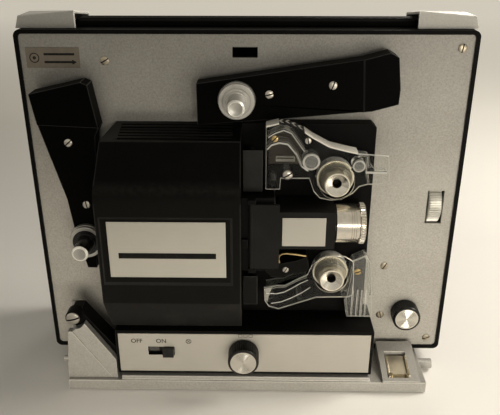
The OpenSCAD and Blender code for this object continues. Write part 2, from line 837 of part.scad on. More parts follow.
// Supply arm, hollow from the back, with a boss at its pivot and its spindle.
module supply_arm() {
    p = supply_pivot;
    s = supply_axis;
    color([0.05, 0.05, 0.05]) {
        difference() {
            union() {
                difference() {
                    union() {
                        front_shape(arm_front, arm_back)
                            polygon([[-34.6, 245.7], [81.7, 262.8], [99.6, 267.6], [105.4, 264.3],
                                [108.2, 242.2],
                                [107.8, 231.5], [89.2, 226.4], [38.6, 221.7], [-34.6, 216]]);
                        front_shape(arm_front - arm_cap, arm_front)
                            polygon([[81.7, 262.8], [99.6, 267.6], [105.4, 264.3], [108.2, 242.2],
                                [107.8, 231.5],
                                [89.2, 226.4], [84, 226]]);
                    }
                    front_shape(arm_front + arm_wall, arm_back + 1)
                        polygon([[-32, 243.5], [82, 260.2], [99, 264.8], [103, 262.6], [105.6, 242],
                            [105.3, 233.4],
                            [88.8, 229], [38.4, 224.3], [-32, 218.8]]);
                }
                bar_y(p[0], p[1], arm_front + 1, arm_back, stud_r + 4);
                bar_y(s[0], s[1], arm_front + 1, arm_front + 4.5, spindle_shaft_r + 3);
                for (q = [[61.1, 244.8], [16.7, 238.2]]) {
                    bar_y(q[0], q[1], arm_front + 1, arm_back - 1, 4);
                }
            }
            bar_y(p[0], p[1], stud_front - slide_gap, arm_back + 1, stud_r + run_fit);
            bar_y(s[0], s[1], arm_front - 1, arm_front + 5, spindle_shaft_r + run_fit);
            for (q = [[61.1, 244.8], [16.7, 238.2]]) {
                bar_y(q[0], q[1], arm_front - 1, arm_front + 6, 1.5);
            }
        }
    }
}

// Slotted screws at the given spots of an arm.
module arm_screws(spots) {
    difference() {
        for (q = spots) {
            bar_y(q[0], q[1], arm_front, arm_front + 6, 1.5);
            bar_y(q[0], q[1], arm_front - 1.2, arm_front, 3);
        }
        for (q = spots) {
            block(q[0] - 4, q[0] + 4, arm_front - 2, arm_front - 0.7, q[1] - 0.4, q[1] + 0.4);
        }
    }
}

// The two screws of the supply arm.
module supply_screws() {
    color([0.60, 0.59, 0.56]) arm_screws([[61.1, 244.8], [16.7, 238.2]]);
}

// A reel spindle: shaft and pulley in the arm, collar and pin in front of it.
module spindle(s, pulley) {
    y0 = arm_front - slide_gap;
    y1 = y0 - collar_t;
    y2 = y1 - step_t;
    bar_y(s[0], s[1], y0, arm_back - 2, spindle_shaft_r);
    bar_y(s[0], s[1], arm_front + 5.2, arm_back - 3, pulley);
    cone_y(s[0], s[1], y1, y0, collar_r - 0.9, collar_r);
    bar_y(s[0], s[1], y2, y1, spindle_r + 1.4);
    bar_y(s[0], s[1], y2 - spindle_len, y2, spindle_r);
    cone_y(s[0], s[1], y2 - spindle_len - 1.2, y2 - spindle_len, spindle_r - 1, spindle_r);
}

// Spindle of the supply reel.
module supply_spindle() {
    color([0.70, 0.70, 0.68]) spindle(supply_axis, 7);
}

// Take-up arm, hollow from the back, with a boss at its pivot and its spindle.
module take_up_arm() {
    p = take_pivot;
    s = take_axis;
    color([0.05, 0.05, 0.05]) {
        difference() {
            union() {
                difference() {
                    union() {
                        front_shape(arm_front, arm_back) translate(take_shift)
                            polygon([[-153.3, 238], [-115.7, 246.7], [-111, 244.6], [-106, 213.4],
                                [-109, 207],
                                [-117.6, 98.7], [-124.8, 98.7], [-131.7, 130.2], [-134.9, 157],
                                [-149.9, 215.4]]);
                        front_shape(arm_front - arm_cap, arm_front) translate(take_shift)
                            polygon([[-153.3, 238], [-115.7, 246.7], [-111, 244.6], [-106, 213.4],
                                [-149.9, 215.4]]);
                    }
                    front_shape(arm_front + arm_wall, arm_back + 1) translate(take_shift)
                        polygon([[-150, 236.2], [-115.9, 243.9], [-113.2, 242.6], [-109, 213.4],
                            [-111.8, 206],
                            [-119.8, 101.4], [-122.8, 101.4], [-129.1, 130.6], [-132.2, 157.4],
                            [-147, 215.8]]);
                }
                bar_y(p[0], p[1], arm_front + 1, arm_back, stud_r + 4);
                bar_y(s[0], s[1], arm_front + 1, arm_front + 4.5, spindle_shaft_r + 2);
                for (q = take_screw_spots()) {
                    bar_y(q[0], q[1], arm_front + 1, arm_back - 1, 4);
                }
            }
            bar_y(p[0], p[1], stud_front - slide_gap, arm_back + 1, stud_r + run_fit);
            bar_y(s[0], s[1], arm_front - 1, arm_front + 5, spindle_shaft_r + run_fit);
            for (q = take_screw_spots()) {
                bar_y(q[0], q[1], arm_front - 1, arm_front + 6, 1.5);
            }
        }
    }
}

// Screw spots of the take-up arm, counted from its pivot.
function take_screw_spots() = [take_pivot + [1.9, -20], take_pivot + [10.4, -69]];

// The two screws of the take-up arm.
module take_up_screws() {
    color([0.60, 0.59, 0.56]) arm_screws(take_screw_spots());
}

// Spindle of the take-up reel.
module take_up_spindle() {
    color([0.12, 0.12, 0.12]) spindle(take_axis, 3.8);
}

// A knob with its shaft and a sunk seat for its metal face.
module knob(x, z, y_seat, r, len, shaft_back) {
    difference() {
        union() {
            cone_y(x, z, y_seat - len, y_seat - slide_gap, r, r + 0.4);
            bar_y(x, z, y_seat - slide_gap - 1, shaft_back, 3);
        }
        bar_y(x, z, y_seat - len - 1, y_seat - len + 1, r - 1.2);
    }
}

// Framing knob on the control box.
module framing_knob() {
    color([0.05, 0.05, 0.05])
        knob(framing_x, framing_z, -box_front - panel_t, framing_r, framing_len - panel_t, -box_front + 14);
}

// Spun metal face of the framing knob.
module framing_face() {
    y0 = -box_front - framing_len;
    color([0.82, 0.81, 0.78]) bar_y(framing_x, framing_z, y0 + 0.2, y0 + 1, framing_r - 1.2);
}

// Tilt knob with its shaft and the friction pinion behind the plate.
module tilt_knob() {
    color([0.05, 0.05, 0.05]) {
        knob(tilt_x, tilt_z, 0, tilt_r, tilt_len, leg_y1 + 2);
        bar_y(tilt_x, tilt_z, leg_y0, leg_y1, pinion_r);
    }
}

// Spun metal face of the tilt knob.
module tilt_face() {
    color([0.82, 0.81, 0.78]) bar_y(tilt_x, tilt_z, -tilt_len + 0.2, -tilt_len + 1, tilt_r - 1.2);
}

// Tilt leg that the pinion drives down onto the base.
module tilt_leg() {
    color([0.50, 0.50, 0.48]) block(leg_x, leg_x + leg_w, leg_y0, leg_y1, leg_z0, leg_z1);
}

// Slide of the switch with its finger nub.
module switch_slider() {
    xm = switch_x1 - nub_w / 2;
    y0 = -box_front + house_wall;
    color([0.04, 0.04, 0.04]) {
        block(xm - nub_w / 2, xm + nub_w / 2, -box_front - panel_t - 4, y0 + slide_gap,
            switch_z - nub_h / 2,
            switch_z + nub_h / 2);
        block(xm - 8, xm + 8, y0 + slide_gap, y0 + 2.4, switch_z - 6.5, switch_z + 6.5);
    }
}

// Main shaft with its belt pulley and worm drum.
module main_shaft() {
    color([0.65, 0.65, 0.64]) {
        bar_x(shaft_y, shaft_z, -16, wheel_x + wheel_half, shaft_r);
        bar_x(shaft_y, shaft_z, pulley_x0, pulley_x1, pulley_r);
        bar_x(shaft_y, shaft_z, sprocket_x - 14, sprocket_x + 14, 7.5);
    }
}

// Inching wheel that shows in the plate's slot.
module inching_wheel() {
    color([0.78, 0.78, 0.76]) {
        difference() {
            bar_x(shaft_y, shaft_z, wheel_x - wheel_half, wheel_x + wheel_half, wheel_r);
            bar_x(shaft_y, shaft_z, wheel_x - wheel_half - 1, wheel_x + wheel_half + 1, shaft_r);
            for (i = [0 : 29]) {
                translate([0, plate_y + shaft_y, shaft_z]) rotate([i * 12, 0, 0])
                    translate([wheel_x - wheel_half - 1, -0.6,
                        wheel_r - 0.8]) cube([2 * wheel_half + 2, 1.2, 2]);
            }
        }
    }
}

// Three-blade shutter on the main shaft.
module shutter() {
    color([0.16, 0.16, 0.16]) {
        difference() {
            union() {
                bar_x(shaft_y, shaft_z, -9, -8, 46);
                bar_x(shaft_y, shaft_z, -14, -8, 7);
            }
            bar_x(shaft_y, shaft_z, -20, 0, shaft_r);
            for (i = [0 : 2]) {
                translate([-12, plate_y + shaft_y, shaft_z]) rotate([i * 120, 0, 0]) rotate([90, 0, 90])
                    linear_extrude(height = 10)
                        polygon([[8, 16], [25, 50], [-25, 50], [-8, 16]]);
            }
        }
    }
}

// Motor shaft with its pulley.
module motor_shaft() {
    color([0.65, 0.65, 0.64]) {
        bar_x(motor_y, motor_z, -75, pulley_x1 + 4, motor_shaft_r);
        bar_x(motor_y, motor_z, pulley_x0, pulley_x1, motor_pulley_r);
    }
}

// Drum fan on the motor shaft.
module cooling_fan() {
    color([0.20, 0.20, 0.20]) {
        difference() {
            union() {
                bar_x(motor_y, motor_z, -56, -54, 24);
                bar_x(motor_y, motor_z, -74, -54, 6);
                for (i = [0 : 11]) {
                    translate([0, plate_y + motor_y, motor_z]) rotate([i * 30, 0, 0])
                        translate([-74, -0.6, 17]) cube([19, 1.2, 6.5]);
                }
            }
            bar_x(motor_y, motor_z, -80, -50, motor_shaft_r);
        }
    }
}

// A film sprocket with its teeth, shaft and drive disc.
module sprocket(z) {
    pitch = 360 / sprocket_teeth;
    bar_y(sprocket_x, z, sprocket_front, sprocket_back, sprocket_r);
    bar_y(sprocket_x, z, sprocket_front, shaft_y + 2, sprocket_shaft_r);
    bar_y(sprocket_x, z, shaft_y - 2, shaft_y + 2, 23);
    for (i = [0 : sprocket_teeth - 1]) {
        translate([sprocket_x, plate_y + sprocket_front + 2, z]) rotate([0, i * pitch, 0])
            translate([-0.5, 0, sprocket_r - 1]) cube([1, 1, 2]);
    }
}

// A turned metal hub with a hollow end, pressed on the sprocket's face.
module hub(z) {
    difference() {
        union() {
            cone_y(sprocket_x, z, hub_front, sprocket_front - 2, hub_tip_r, hub_base_r);
            bar_y(sprocket_x, z, sprocket_front - 2, sprocket_front, hub_flange_r);
        }
        bar_y(sprocket_x, z, hub_front - 1, hub_front + 12, hub_hole_r);
        cone_y(sprocket_x, z, hub_front - 0.01, hub_front + 3.6, hub_tip_r - 0.9, hub_hole_r);
    }
}

// Upper film sprocket.
module upper_sprocket() {
    color([0.85, 0.84, 0.80]) sprocket(upper_z);
}

// Hub of the upper sprocket.
module upper_hub() {
    color([0.75, 0.74, 0.72]) hub(upper_z);
}

// Lower film sprocket.
module lower_sprocket() {
    color([0.85, 0.84, 0.80]) sprocket(lower_z);
}

// Hub of the lower sprocket.
module lower_hub() {
    color([0.75, 0.74, 0.72]) hub(lower_z);
}

// Lens carrier with its pressure plate, bored for the lens and for its hinge pin.
module lens_carrier() {
    color([0.06, 0.06, 0.06]) {
        difference() {
            union() {
                block(carrier_x0, carrier_x1, carrier_y0, carrier_y1, carrier_z0, carrier_z1);
                block(carrier_x0 - 1.4, carrier_x0, -36, -16, 130, 157);
                block(door_x0, carrier_x0, carrier_y0, door_y1, door_z0, door_z1);
                bar_z(hinge_x, hinge_y, door_z0, door_z1, knuckle_r);
                block(hinge_x, door_x0, hinge_y - 1.5, hinge_y + 1.5, door_z0, door_z1);
            }
            bar_x(axis_y, axis_z, carrier_x0, carrier_x1 + 1, lens_bore_r);
            bar_x(axis_y, axis_z, carrier_x0 - 2, carrier_x0 + 0.01, 5);
            bar_z(hinge_x, hinge_y, door_z0 - 1, door_z1 + 1, hinge_r + run_fit);
        }
    }
}

// Small bare plate on the lens carrier.
module lens_plate() {
    color([0.82, 0.80, 0.76]) block(27, 58.5, carrier_y0 - 0.6, carrier_y0, 131.5, 154);
}

// Sleeve that slides in the carrier.
module lens_sleeve() {
    color([0.15, 0.15, 0.15]) {
        difference() {
            bar_x(axis_y, axis_z, carrier_x0 + 4, carrier_x1 - 1, lens_bore_r - run_fit);
            bar_x(axis_y, axis_z, carrier_x0, carrier_x1, 9);
        }
    }
}

// Lens barrel with the knurled focusing ring, turning in the sleeve.
module lens_barrel() {
    x0 = carrier_x1 + 0.6;
    color([0.74, 0.72, 0.68]) {
        difference() {
            union() {
                bar_x(axis_y, axis_z, carrier_x0 + 12, x0, 9 - run_fit);
                bar_x(axis_y, axis_z, x0, x0 + 17.5, barrel_r);
                bar_x(axis_y, axis_z, x0 + 17.5, x0 + 22, ring_r);
            }
            bar_x(axis_y, axis_z, carrier_x0, x0 + 16, 7.5);
            bar_x(axis_y, axis_z, x0 + 14, x0 + 18, 10);
            bar_x(axis_y, axis_z, x0 + 18, x0 + 23, 12.5);
        }
    }
}

// Front glass of the lens.
module lens_glass() {
    x0 = carrier_x1 + 0.6;
    color([0.55, 0.60, 0.70]) bar_x(axis_y, axis_z, x0 + 14, x0 + 18, 10);
}

base_tray();
hinge_bracket();
pivot_screw();
latch_ramp();
latch_spring();
rubber_feet();
main_plate();
case_rim();
rear_case();
rear_cover();
rear_screws();
power_inlet();
plate_screws();
strap_caps();
control_box();
control_panel();
lamp_house();
name_plate();
lamp();
lamp_socket();
film_block();
aperture_plate();
light_shield();
rewind_plate();
motor_can();
shaft_posts();
drive_belt();
switch_body();
film_chute();
upper_guide();
upper_strip();
lower_guide();
lower_shoe();
handle_strap();
supply_arm();
supply_screws();
supply_spindle();
take_up_arm();
take_up_screws();
take_up_spindle();
framing_knob();
framing_face();
tilt_knob();
tilt_face();
tilt_leg();
switch_slider();
main_shaft();
inching_wheel();
shutter();
motor_shaft();
cooling_fan();
upper_sprocket();
upper_hub();
lower_sprocket();
lower_hub();
lens_carrier();
lens_plate();
lens_sleeve();
lens_barrel();
lens_glass();
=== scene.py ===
import json
import math

import bmesh
import bpy
from mathutils import Matrix, Vector


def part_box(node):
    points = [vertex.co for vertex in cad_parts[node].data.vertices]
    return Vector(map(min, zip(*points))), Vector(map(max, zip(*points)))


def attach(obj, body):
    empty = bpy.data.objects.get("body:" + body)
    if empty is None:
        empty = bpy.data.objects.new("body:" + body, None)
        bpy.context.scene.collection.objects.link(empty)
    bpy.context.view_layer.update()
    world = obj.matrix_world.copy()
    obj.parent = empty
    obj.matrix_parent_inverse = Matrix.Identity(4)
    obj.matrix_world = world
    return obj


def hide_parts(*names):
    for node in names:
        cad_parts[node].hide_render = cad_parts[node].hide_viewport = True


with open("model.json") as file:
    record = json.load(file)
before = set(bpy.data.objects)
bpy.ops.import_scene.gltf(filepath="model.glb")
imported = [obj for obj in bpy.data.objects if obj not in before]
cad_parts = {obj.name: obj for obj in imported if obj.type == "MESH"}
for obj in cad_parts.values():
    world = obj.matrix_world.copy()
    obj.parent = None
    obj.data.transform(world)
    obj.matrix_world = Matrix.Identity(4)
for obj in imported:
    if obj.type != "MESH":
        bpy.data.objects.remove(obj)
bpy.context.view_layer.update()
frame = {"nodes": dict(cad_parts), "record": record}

# Base casting: a shallow tray, pressure cast and sprayed with satin silver enamel.
# The machine's body rests on the raised pad in its middle and is hinged at its left end.
MM = 0.001
body_of_node = {n: b for b, nodes in frame["record"]["behaviour"]["bodies"].items() for n in nodes}


class Wire:
    """A shader value that takes part in plain sums; every sum adds its Math node."""

    def __init__(self, finish, socket):
        self.finish = finish
        self.socket = socket

    def calc(self, operation, *values):
        return self.finish.add("ShaderNodeMath", {"operation": operation}, dict(enumerate(values)))

    def __add__(self, other):
        return self.calc("ADD", self, other)

    __radd__ = __add__

    def __sub__(self, other):
        return self.calc("SUBTRACT", self, other)

    def __rsub__(self, other):
        return self.calc("SUBTRACT", other, self)

    def __mul__(self, other):
        return self.calc("MULTIPLY", self, other)

    __rmul__ = __mul__

    def __truediv__(self, other):
        return self.calc("DIVIDE", self, other)

    def __rtruediv__(self, other):
        return self.calc("DIVIDE", other, self)

    def __gt__(self, other):
        return self.calc("GREATER_THAN", self, other)

    def __lt__(self, other):
        return self.calc("LESS_THAN", self, other)

    def __abs__(self):
        return self.calc("ABSOLUTE", self)


class Finish:
    """A surface finish: one material with one shader, whose nodes all come from add()."""

    def __init__(self, name, library=bpy.data.materials, shader="Principled BSDF", **values):
        self.material = library.new(name)
        self.material.use_nodes = True
        self.tree = self.material.node_tree
        self.shader = self.tree.nodes[shader]
        for key, value in values.items():
            self.shader.inputs[key.replace("_", " ")].default_value = value

    def add(self, kind, settings, inputs, out=0):
        """Adds a node: its settings first, then the values or links of its sockets."""
        made = self.tree.nodes.new(kind)
        for key, value in settings.items():
            setattr(made, key, value)
        for key, value in inputs.items():
            if isinstance(value, Wire):
                self.tree.links.new(value.socket, made.inputs[key])
            else:
                made.inputs[key].default_value = value
        return Wire(self, made.outputs[out])

    def feed(self, **wires):
        """Links wires to the shader's own sockets."""
        for key, wire in wires.items():
            self.tree.links.new(wire.socket, self.shader.inputs[key.replace("_", " ")])
        return self

    def place(self, stretch=(1, 1, 1), centre=(0, 0, 0)):
        """The spot on the object, counted from a centre, with each axis stretched."""
        spot = self.add("ShaderNodeTexCoord", {}, {}, "Object")
        moved = self.add("ShaderNodeVectorMath", {"operation": "SUBTRACT"}, {0: spot, 1: centre})
        return self.add("ShaderNodeVectorMath", {"operation": "MULTIPLY"}, {0: moved, 1: stretch})

    def along(self, axis):
        """The spot's place along one axis of the object."""
        spot = self.add("ShaderNodeTexCoord", {}, {}, "Object")
        return self.add("ShaderNodeSeparateXYZ", {}, {0: spot}, axis)

    def away(self, stretch=(1, 1, 1), centre=(0, 0, 0)):
        """The spot's distance from a centre, with each axis stretched."""
        spot = self.place(stretch, centre)
        return self.add("ShaderNodeVectorMath", {"operation": "LENGTH"}, {0: spot}, "Value")

    def grain(self, size, detail=2.0, stretch=(1, 1, 1)):
        """Even noise whose blotches are about size millimetres across."""
        inputs = {"Vector": self.place(stretch), "Scale": 1 / (size * MM), "Detail": detail}
        return self.add("ShaderNodeTexNoise", {}, inputs)

    def lines(self, value, width):
        """Noise in one direction: lines about width millimetres wide, across the way a value grows."""
        inputs = {"W": value, "Scale": 1 / (width * MM), "Detail": 2.0}
        return self.add("ShaderNodeTexNoise", {"noise_dimensions": "1D"}, inputs)

    def between(self, value, low, high):
        """0 below low, 1 above high and even in between."""
        return self.add("ShaderNodeMapRange", {}, {"Value": value, "From Min": low, "From Max": high})

    def larger(self, first, second):
        return self.add("ShaderNodeMath", {"operation": "MAXIMUM"}, {0: first, 1: second})

    def mix(self, share, first, second):
        return self.add("ShaderNodeMix", {"data_type": "RGBA"}, {0: share, 6: first, 7: second}, 2)

    def over(self, share, colour):
        """Lays a second colour over the first by a share."""
        below = Wire(self, self.shader.inputs["Base Color"].links[0].from_socket)
        return self.feed(Base_Color=self.mix(share, below, colour))

    def relief(self, height, depth, strength):
        """Feeds the surface normal with a height map that is depth millimetres deep."""
        inputs = {"Strength": strength, "Distance": depth * MM, "Height": height}
        return self.feed(Normal=self.add("ShaderNodeBump", {}, inputs))


def enamel(name, dark, light, rough, metal):
    """Sprayed metallic enamel: fine flake, slow cloudiness, a few rubbed spots, orange peel."""
    coat = Finish(name, Metallic=metal, Specular_IOR_Level=0.4)
    cloud = coat.grain(60, 3.0)
    flake = coat.grain(0.5, 1.0)
    rub = coat.between(coat.grain(12, 4.0), 0.60, 0.75)
    speck = coat.grain(1.3, 3.0)
    lightness = coat.between(cloud * 0.3 + flake * 0.2 + speck * 0.5, 0.36, 0.64)
    coat.feed(Base_Color=coat.mix(lightness, dark, light))
    coat.feed(Roughness=rough + 0.12 * (flake - 0.5) - 0.08 * rub)
    return coat.relief(coat.grain(1.1) + 0.4 * flake, 0.04, 0.5)


def shown(name, data):
    """A new object in the scene."""
    made = bpy.data.objects.new(name, data)
    bpy.context.scene.collection.objects.link(made)
    return made


def joined(name, solid, finishes, body, crease=32):
    """Turns a bmesh into a shown piece that moves with a body, smooth but for creases past an angle."""
    bmesh.ops.recalc_face_normals(solid, faces=solid.faces)
    mesh = bpy.data.meshes.new(name)
    solid.to_mesh(mesh)
    solid.free()
    for polygon in mesh.polygons:
        polygon.use_smooth = True
    mesh.set_sharp_from_angle(angle=math.radians(crease))
    made = shown(name, mesh)
    for finish in finishes:
        mesh.materials.append(finish.material)
    even = made.modifiers.new("even_normals", "WEIGHTED_NORMAL")
    even.keep_sharp = True
    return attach(made, body)


def instead(node, name, solid, finishes, crease=32):
    """A piece that is shown for a CAD node, on that node's body, with the node hidden."""
    made = joined(name, solid, finishes, body_of_node[node], crease)
    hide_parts(node)
    return made


def eased(node, face, edge, width, wall=None, bend=None):
    """The CAD piece again, its long sharp edges broken by width millimetres, standing for that node.
    With a wall finish, short flanks across the depth take the edge finish and deep ones the wall's.
    bend, where there is one, is a step that works on the clean mesh before its edges are broken."""
    width = width * MM
    weld = 4e-6
    flat, crease = math.radians(0.5), math.radians(32)
    shortest = 4 * width
    deep_flank = 4 * MM
    solid = bmesh.new()
    solid.from_mesh(frame["nodes"][node].data)
    bmesh.ops.remove_doubles(solid, verts=solid.verts, dist=weld)
    bmesh.ops.dissolve_limit(solid, angle_limit=flat, verts=solid.verts, edges=solid.edges)
    if bend:
        bend(solid)
    sharp = []
    for line in solid.edges:
        if len(line.link_faces) == 2 and line.calc_face_angle(0) > crease and line.calc_length() > shortest:
            sharp.append(line)
    # The bevel faces take the edge finish, paler than the face: wear, and a painted highlight along the
    # edges.
    bmesh.ops.bevel(
        solid, geom=sharp, offset=width, offset_type="OFFSET", segments=2, profile=0.6,
        affect="EDGES", clamp_overlap=False, material=1, loop_slide=True,
    )
    finishes = [face, edge]
    if wall:
        finishes.append(wall)
        solid.normal_update()
        for facet in solid.faces:
            depths = [v.co.y for v in facet.verts]
            if abs(facet.normal.y) < 0.4:
                facet.material_index = 2 if max(depths) - min(depths) > deep_flank else 1
    return instead(node, node + "_eased", solid, finishes)


cast_silver = enamel("cast_silver", (0.27, 0.263, 0.243, 1), (0.37, 0.361, 0.338, 1), rough=0.42, metal=0.3)
# The edge finishes here and below are paler than their faces: wear, and a painted highlight along the edges.
cast_edge = enamel("cast_silver_edge", (0.42, 0.41, 0.385, 1), (0.52, 0.51, 0.48, 1), rough=0.34, metal=0.45)
eased("base_tray", cast_silver, cast_edge, 0.7)

# Hinge bracket: two steel leaves in the tray's silver enamel, welded to its left end.
# The slotted steel screw in its leaves is the pivot on which the body tilts.
plate_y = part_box("control_box")[1].y


def at(x, y, z):
    """A point in the row frame from millimetres, with y counted from the main plate's face."""
    return Vector((x * MM, plate_y + y * MM, z * MM))


def shade(colour, factor):
    """A colour made darker or lighter by a factor."""
    return tuple(factor * c for c in colour[:3]) + (1,)


def turned(name, colour, rough, axis, line=0.3, metal=1.0):
    """Turned or drawn bright metal: fine lines, line millimetres wide along an axis, slight stain."""
    coat = Finish(name, Metallic=metal)
    lines = coat.lines(coat.along(axis), line)
    stain = coat.between(coat.grain(7, 3.0), 0.42, 0.72)
    coat.feed(Base_Color=coat.mix(stain * 0.6 + 0.25 * lines, colour, shade(colour, 0.72)))
    coat.feed(Roughness=rough + 0.10 * (lines - 0.5) + 0.06 * stain)
    return coat.relief(lines, 0.012, 0.6)


def rubber(name, tone, rough):
    """Moulded rubber or plastic of one tone, with a dull bloom."""
    coat = Finish(name, Specular_IOR_Level=0.3)
    bloom = coat.between(coat.grain(4, 4.0), 0.35, 0.75)
    coat.feed(Base_Color=coat.mix(bloom, shade((1, 1, 1), tone), shade((2.2, 2.1, 1.9), tone)))
    coat.feed(Roughness=rough + 0.15 * bloom)
    return coat.relief(coat.grain(0.6), 0.04, 0.6)


def lathe(solid, profile, centre, axis, count=64, ribs=0, rib_depth=0.0, rib_rows=(), coats=()):
    """Adds a turned solid: profile is (along, radius) in metres, closed at both ends.
    coats are (span, finish number) pairs for the spans not in the first finish; span -1 is the first end."""
    coat_of = dict(coats)
    across = {"X": (1, 2), "Y": (0, 2), "Z": (0, 1)}[axis]
    lengthwise = "XYZ".index(axis)
    if ribs:
        count = ribs * 4
    rings = []
    for row, (along, radius) in enumerate(profile):
        ring = []
        for i in range(count):
            turn = 2 * math.pi * i / count
            sunk = rib_depth if (row in rib_rows and i % 4 >= 2) else 0.0
            point = [0.0, 0.0, 0.0]
            point[lengthwise] = along
            point[across[0]] = centre[across[0]] + (radius - sunk) * math.cos(turn)
            point[across[1]] = centre[across[1]] + (radius - sunk) * math.sin(turn)
            ring.append(solid.verts.new(point))
        rings.append(ring)
    for span, (near, far) in enumerate(zip(rings, rings[1:])):
        for i in range(count):
            j = (i + 1) % count
            solid.faces.new([near[i], near[j], far[j], far[i]]).material_index = coat_of.get(span, 0)
    solid.faces.new(rings[0][::-1]).material_index = coat_of.get(-1, 0)
    solid.faces.new(rings[-1])


def slotted_head(solid, x, z, face, radius, rise, slot, turn):
    """Adds a domed screw head on a face towards the front, in millimetres: two half domes on a disc
    with a slot, tilted by turn degrees, between them. The slot takes the second finish."""
    lean = math.radians(turn)
    along = Vector((math.cos(lean), 0, math.sin(lean)))
    across = Vector((-math.sin(lean), 0, math.cos(lean)))
    reach = math.sqrt(radius ** 2 - slot ** 2 / 4)
    floor = 0.3 * rise
    steps, half = 6, 14
    for side in (-1, 1):
        rows = []
        for k in range(steps):
            lift = math.radians(90 * k / steps)
            depth = face - floor - (rise - floor) * math.sin(lift)
            row = []
            for i in range(half + 1):
                bow = math.pi * i / half
                spot = along * reach * math.cos(lift) * math.cos(bow)
                spot += across * side * (slot / 2 + (radius - slot / 2) * math.cos(lift) * math.sin(bow))
                row.append(solid.verts.new(at(x + spot.x, depth, z + spot.z)))
            rows.append(row)
        top = across * side * slot / 2
        crown = solid.verts.new(at(x + top.x, face - rise, z + top.z))
        for lower, upper in zip(rows, rows[1:]):
            for i in range(half):
                solid.faces.new([lower[i], lower[i + 1], upper[i + 1], upper[i]])
        for i in range(half):
            solid.faces.new([rows[-1][i], rows[-1][i + 1], crown])
        slot_wall = [row[0] for row in rows] + [crown] + [row[-1] for row in reversed(rows)]
        solid.faces.new(slot_wall).material_index = 1
        solid.faces.new(rows[0])
    middle = at(x, face, z)
    disc = [(middle.y - floor * MM, radius * MM), (middle.y, radius * MM)]
    lathe(solid, disc, middle, "Y", 28, coats=((-1, 1),))


screw_steel = turned("screw_steel", (0.60, 0.57, 0.51, 1), 0.30, "Y")
slot_grime = rubber("slot_grime", 0.006, 0.7)


def screws(node, finish, spots, face, radius, rise, slot, shank_r, shank):
    """Slotted screws in place of a node's plain ones; spots are (x, z, tilt of the slot)."""
    solid = bmesh.new()
    for x, z, turn in spots:
        slotted_head(solid, x, z, face, radius, rise, slot, turn)
        seat = at(x, face, z)
        lathe(solid, [(seat.y, shank_r * MM), (seat.y + shank * MM, shank_r * MM)], seat, "Y", 20)
    return instead(node, node + "_domed", solid, [finish, slot_grime], 40)


eased("hinge_bracket", cast_silver, cast_edge, 0.5)
screws("pivot_screw", screw_steel, [(-134.7, 65.8, 14)],
       face=-41.0, radius=5.2, rise=2.4, slot=1.3, shank_r=2.4, shank=24.6)

# Latch ramp: a sloped steel piece in the same enamel, welded to the tray's right end.
# Two rivets hold a bronze leaf spring in its window, and a bright steel tongue rises over the leaf.
eased("latch_ramp", cast_silver, cast_edge, 0.4)
spring_bronze = turned("spring_bronze", (0.44, 0.37, 0.25, 1), 0.34, "X")
spring_edge = turned("spring_edge", (0.78, 0.72, 0.60, 1), 0.26, "X")
eased("latch_spring", spring_bronze, spring_edge, 0.2)


def extruded(solid, outline, low, high, axis):
    """Adds a solid: a closed outline, drawn in the other two axes, from low to high."""
    order = {"X": (2, 0, 1), "Y": (0, 2, 1), "Z": (0, 1, 2)}[axis]
    ends = []
    for depth in (low, high):
        ring = []
        for a, b in outline:
            ring.append(solid.verts.new([(a, b, depth)[i] for i in order]))
        ends.append(ring)
    solid.faces.new(ends[0])
    solid.faces.new(ends[1][::-1])
    count = len(outline)
    for i in range(count):
        j = (i + 1) % count
        solid.faces.new([ends[0][i], ends[0][j], ends[1][j], ends[1][i]])


tongue_steel = turned("leaf_steel", (0.60, 0.545, 0.43, 1), 0.32, "X")
leaf_low, leaf_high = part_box("latch_spring")
leaf_side = 1.9 * MM
tongue_thick = 0.5
tongue_foot = [(-37.6, 11.85), (-22.4, 15.6), (-18.4, 16.0)]
tongue_line = tongue_foot + [(y, z + tongue_thick) for y, z in reversed(tongue_foot)]
tongue_outline = [(plate_y + y * MM, z * MM) for y, z in tongue_line]
tongue = bmesh.new()
extruded(tongue, tongue_outline, leaf_low.x + leaf_side, leaf_high.x - leaf_side, "X")
joined("latch_tongue", tongue, [tongue_steel], body_of_node["latch_spring"])


# Feet: four moulded rubber feet, seated under the tray's deck.
# They stand on the table and keep the machine from sliding.
def wear(node, finish):
    """Gives a CAD node its finish."""
    frame["nodes"][node].data.materials.clear()
    frame["nodes"][node].data.materials.append(finish.material)


foot_rubber = rubber("foot_rubber", 0.012, 0.62)
wear("rubber_feet", foot_rubber)

# Main plate: sheet steel in a warm grey metallic enamel, let into the black rim from the front.
# It carries everything on the working side, and five slotted brass screws show in its face.
plate_enamel = enamel("plate_enamel", (0.27, 0.259, 0.234, 1), (0.40, 0.386, 0.354, 1), rough=0.45, metal=0.2)
wear("main_plate", plate_enamel)
plate_brass = turned("plate_screw_brass", (0.46, 0.41, 0.32, 1), 0.32, "Y")
plate_spots = [
    (-101.6, 257.8, 30), (153.5, 267.3, 80), (112.6, 91.8, 60), (112.8, 45, 100), (153.9, 22.3, 20)]
screws("plate_screws", plate_brass, plate_spots,
       face=0, radius=3.2, rise=1.1, slot=0.9, shank_r=1.6, shank=1.0)
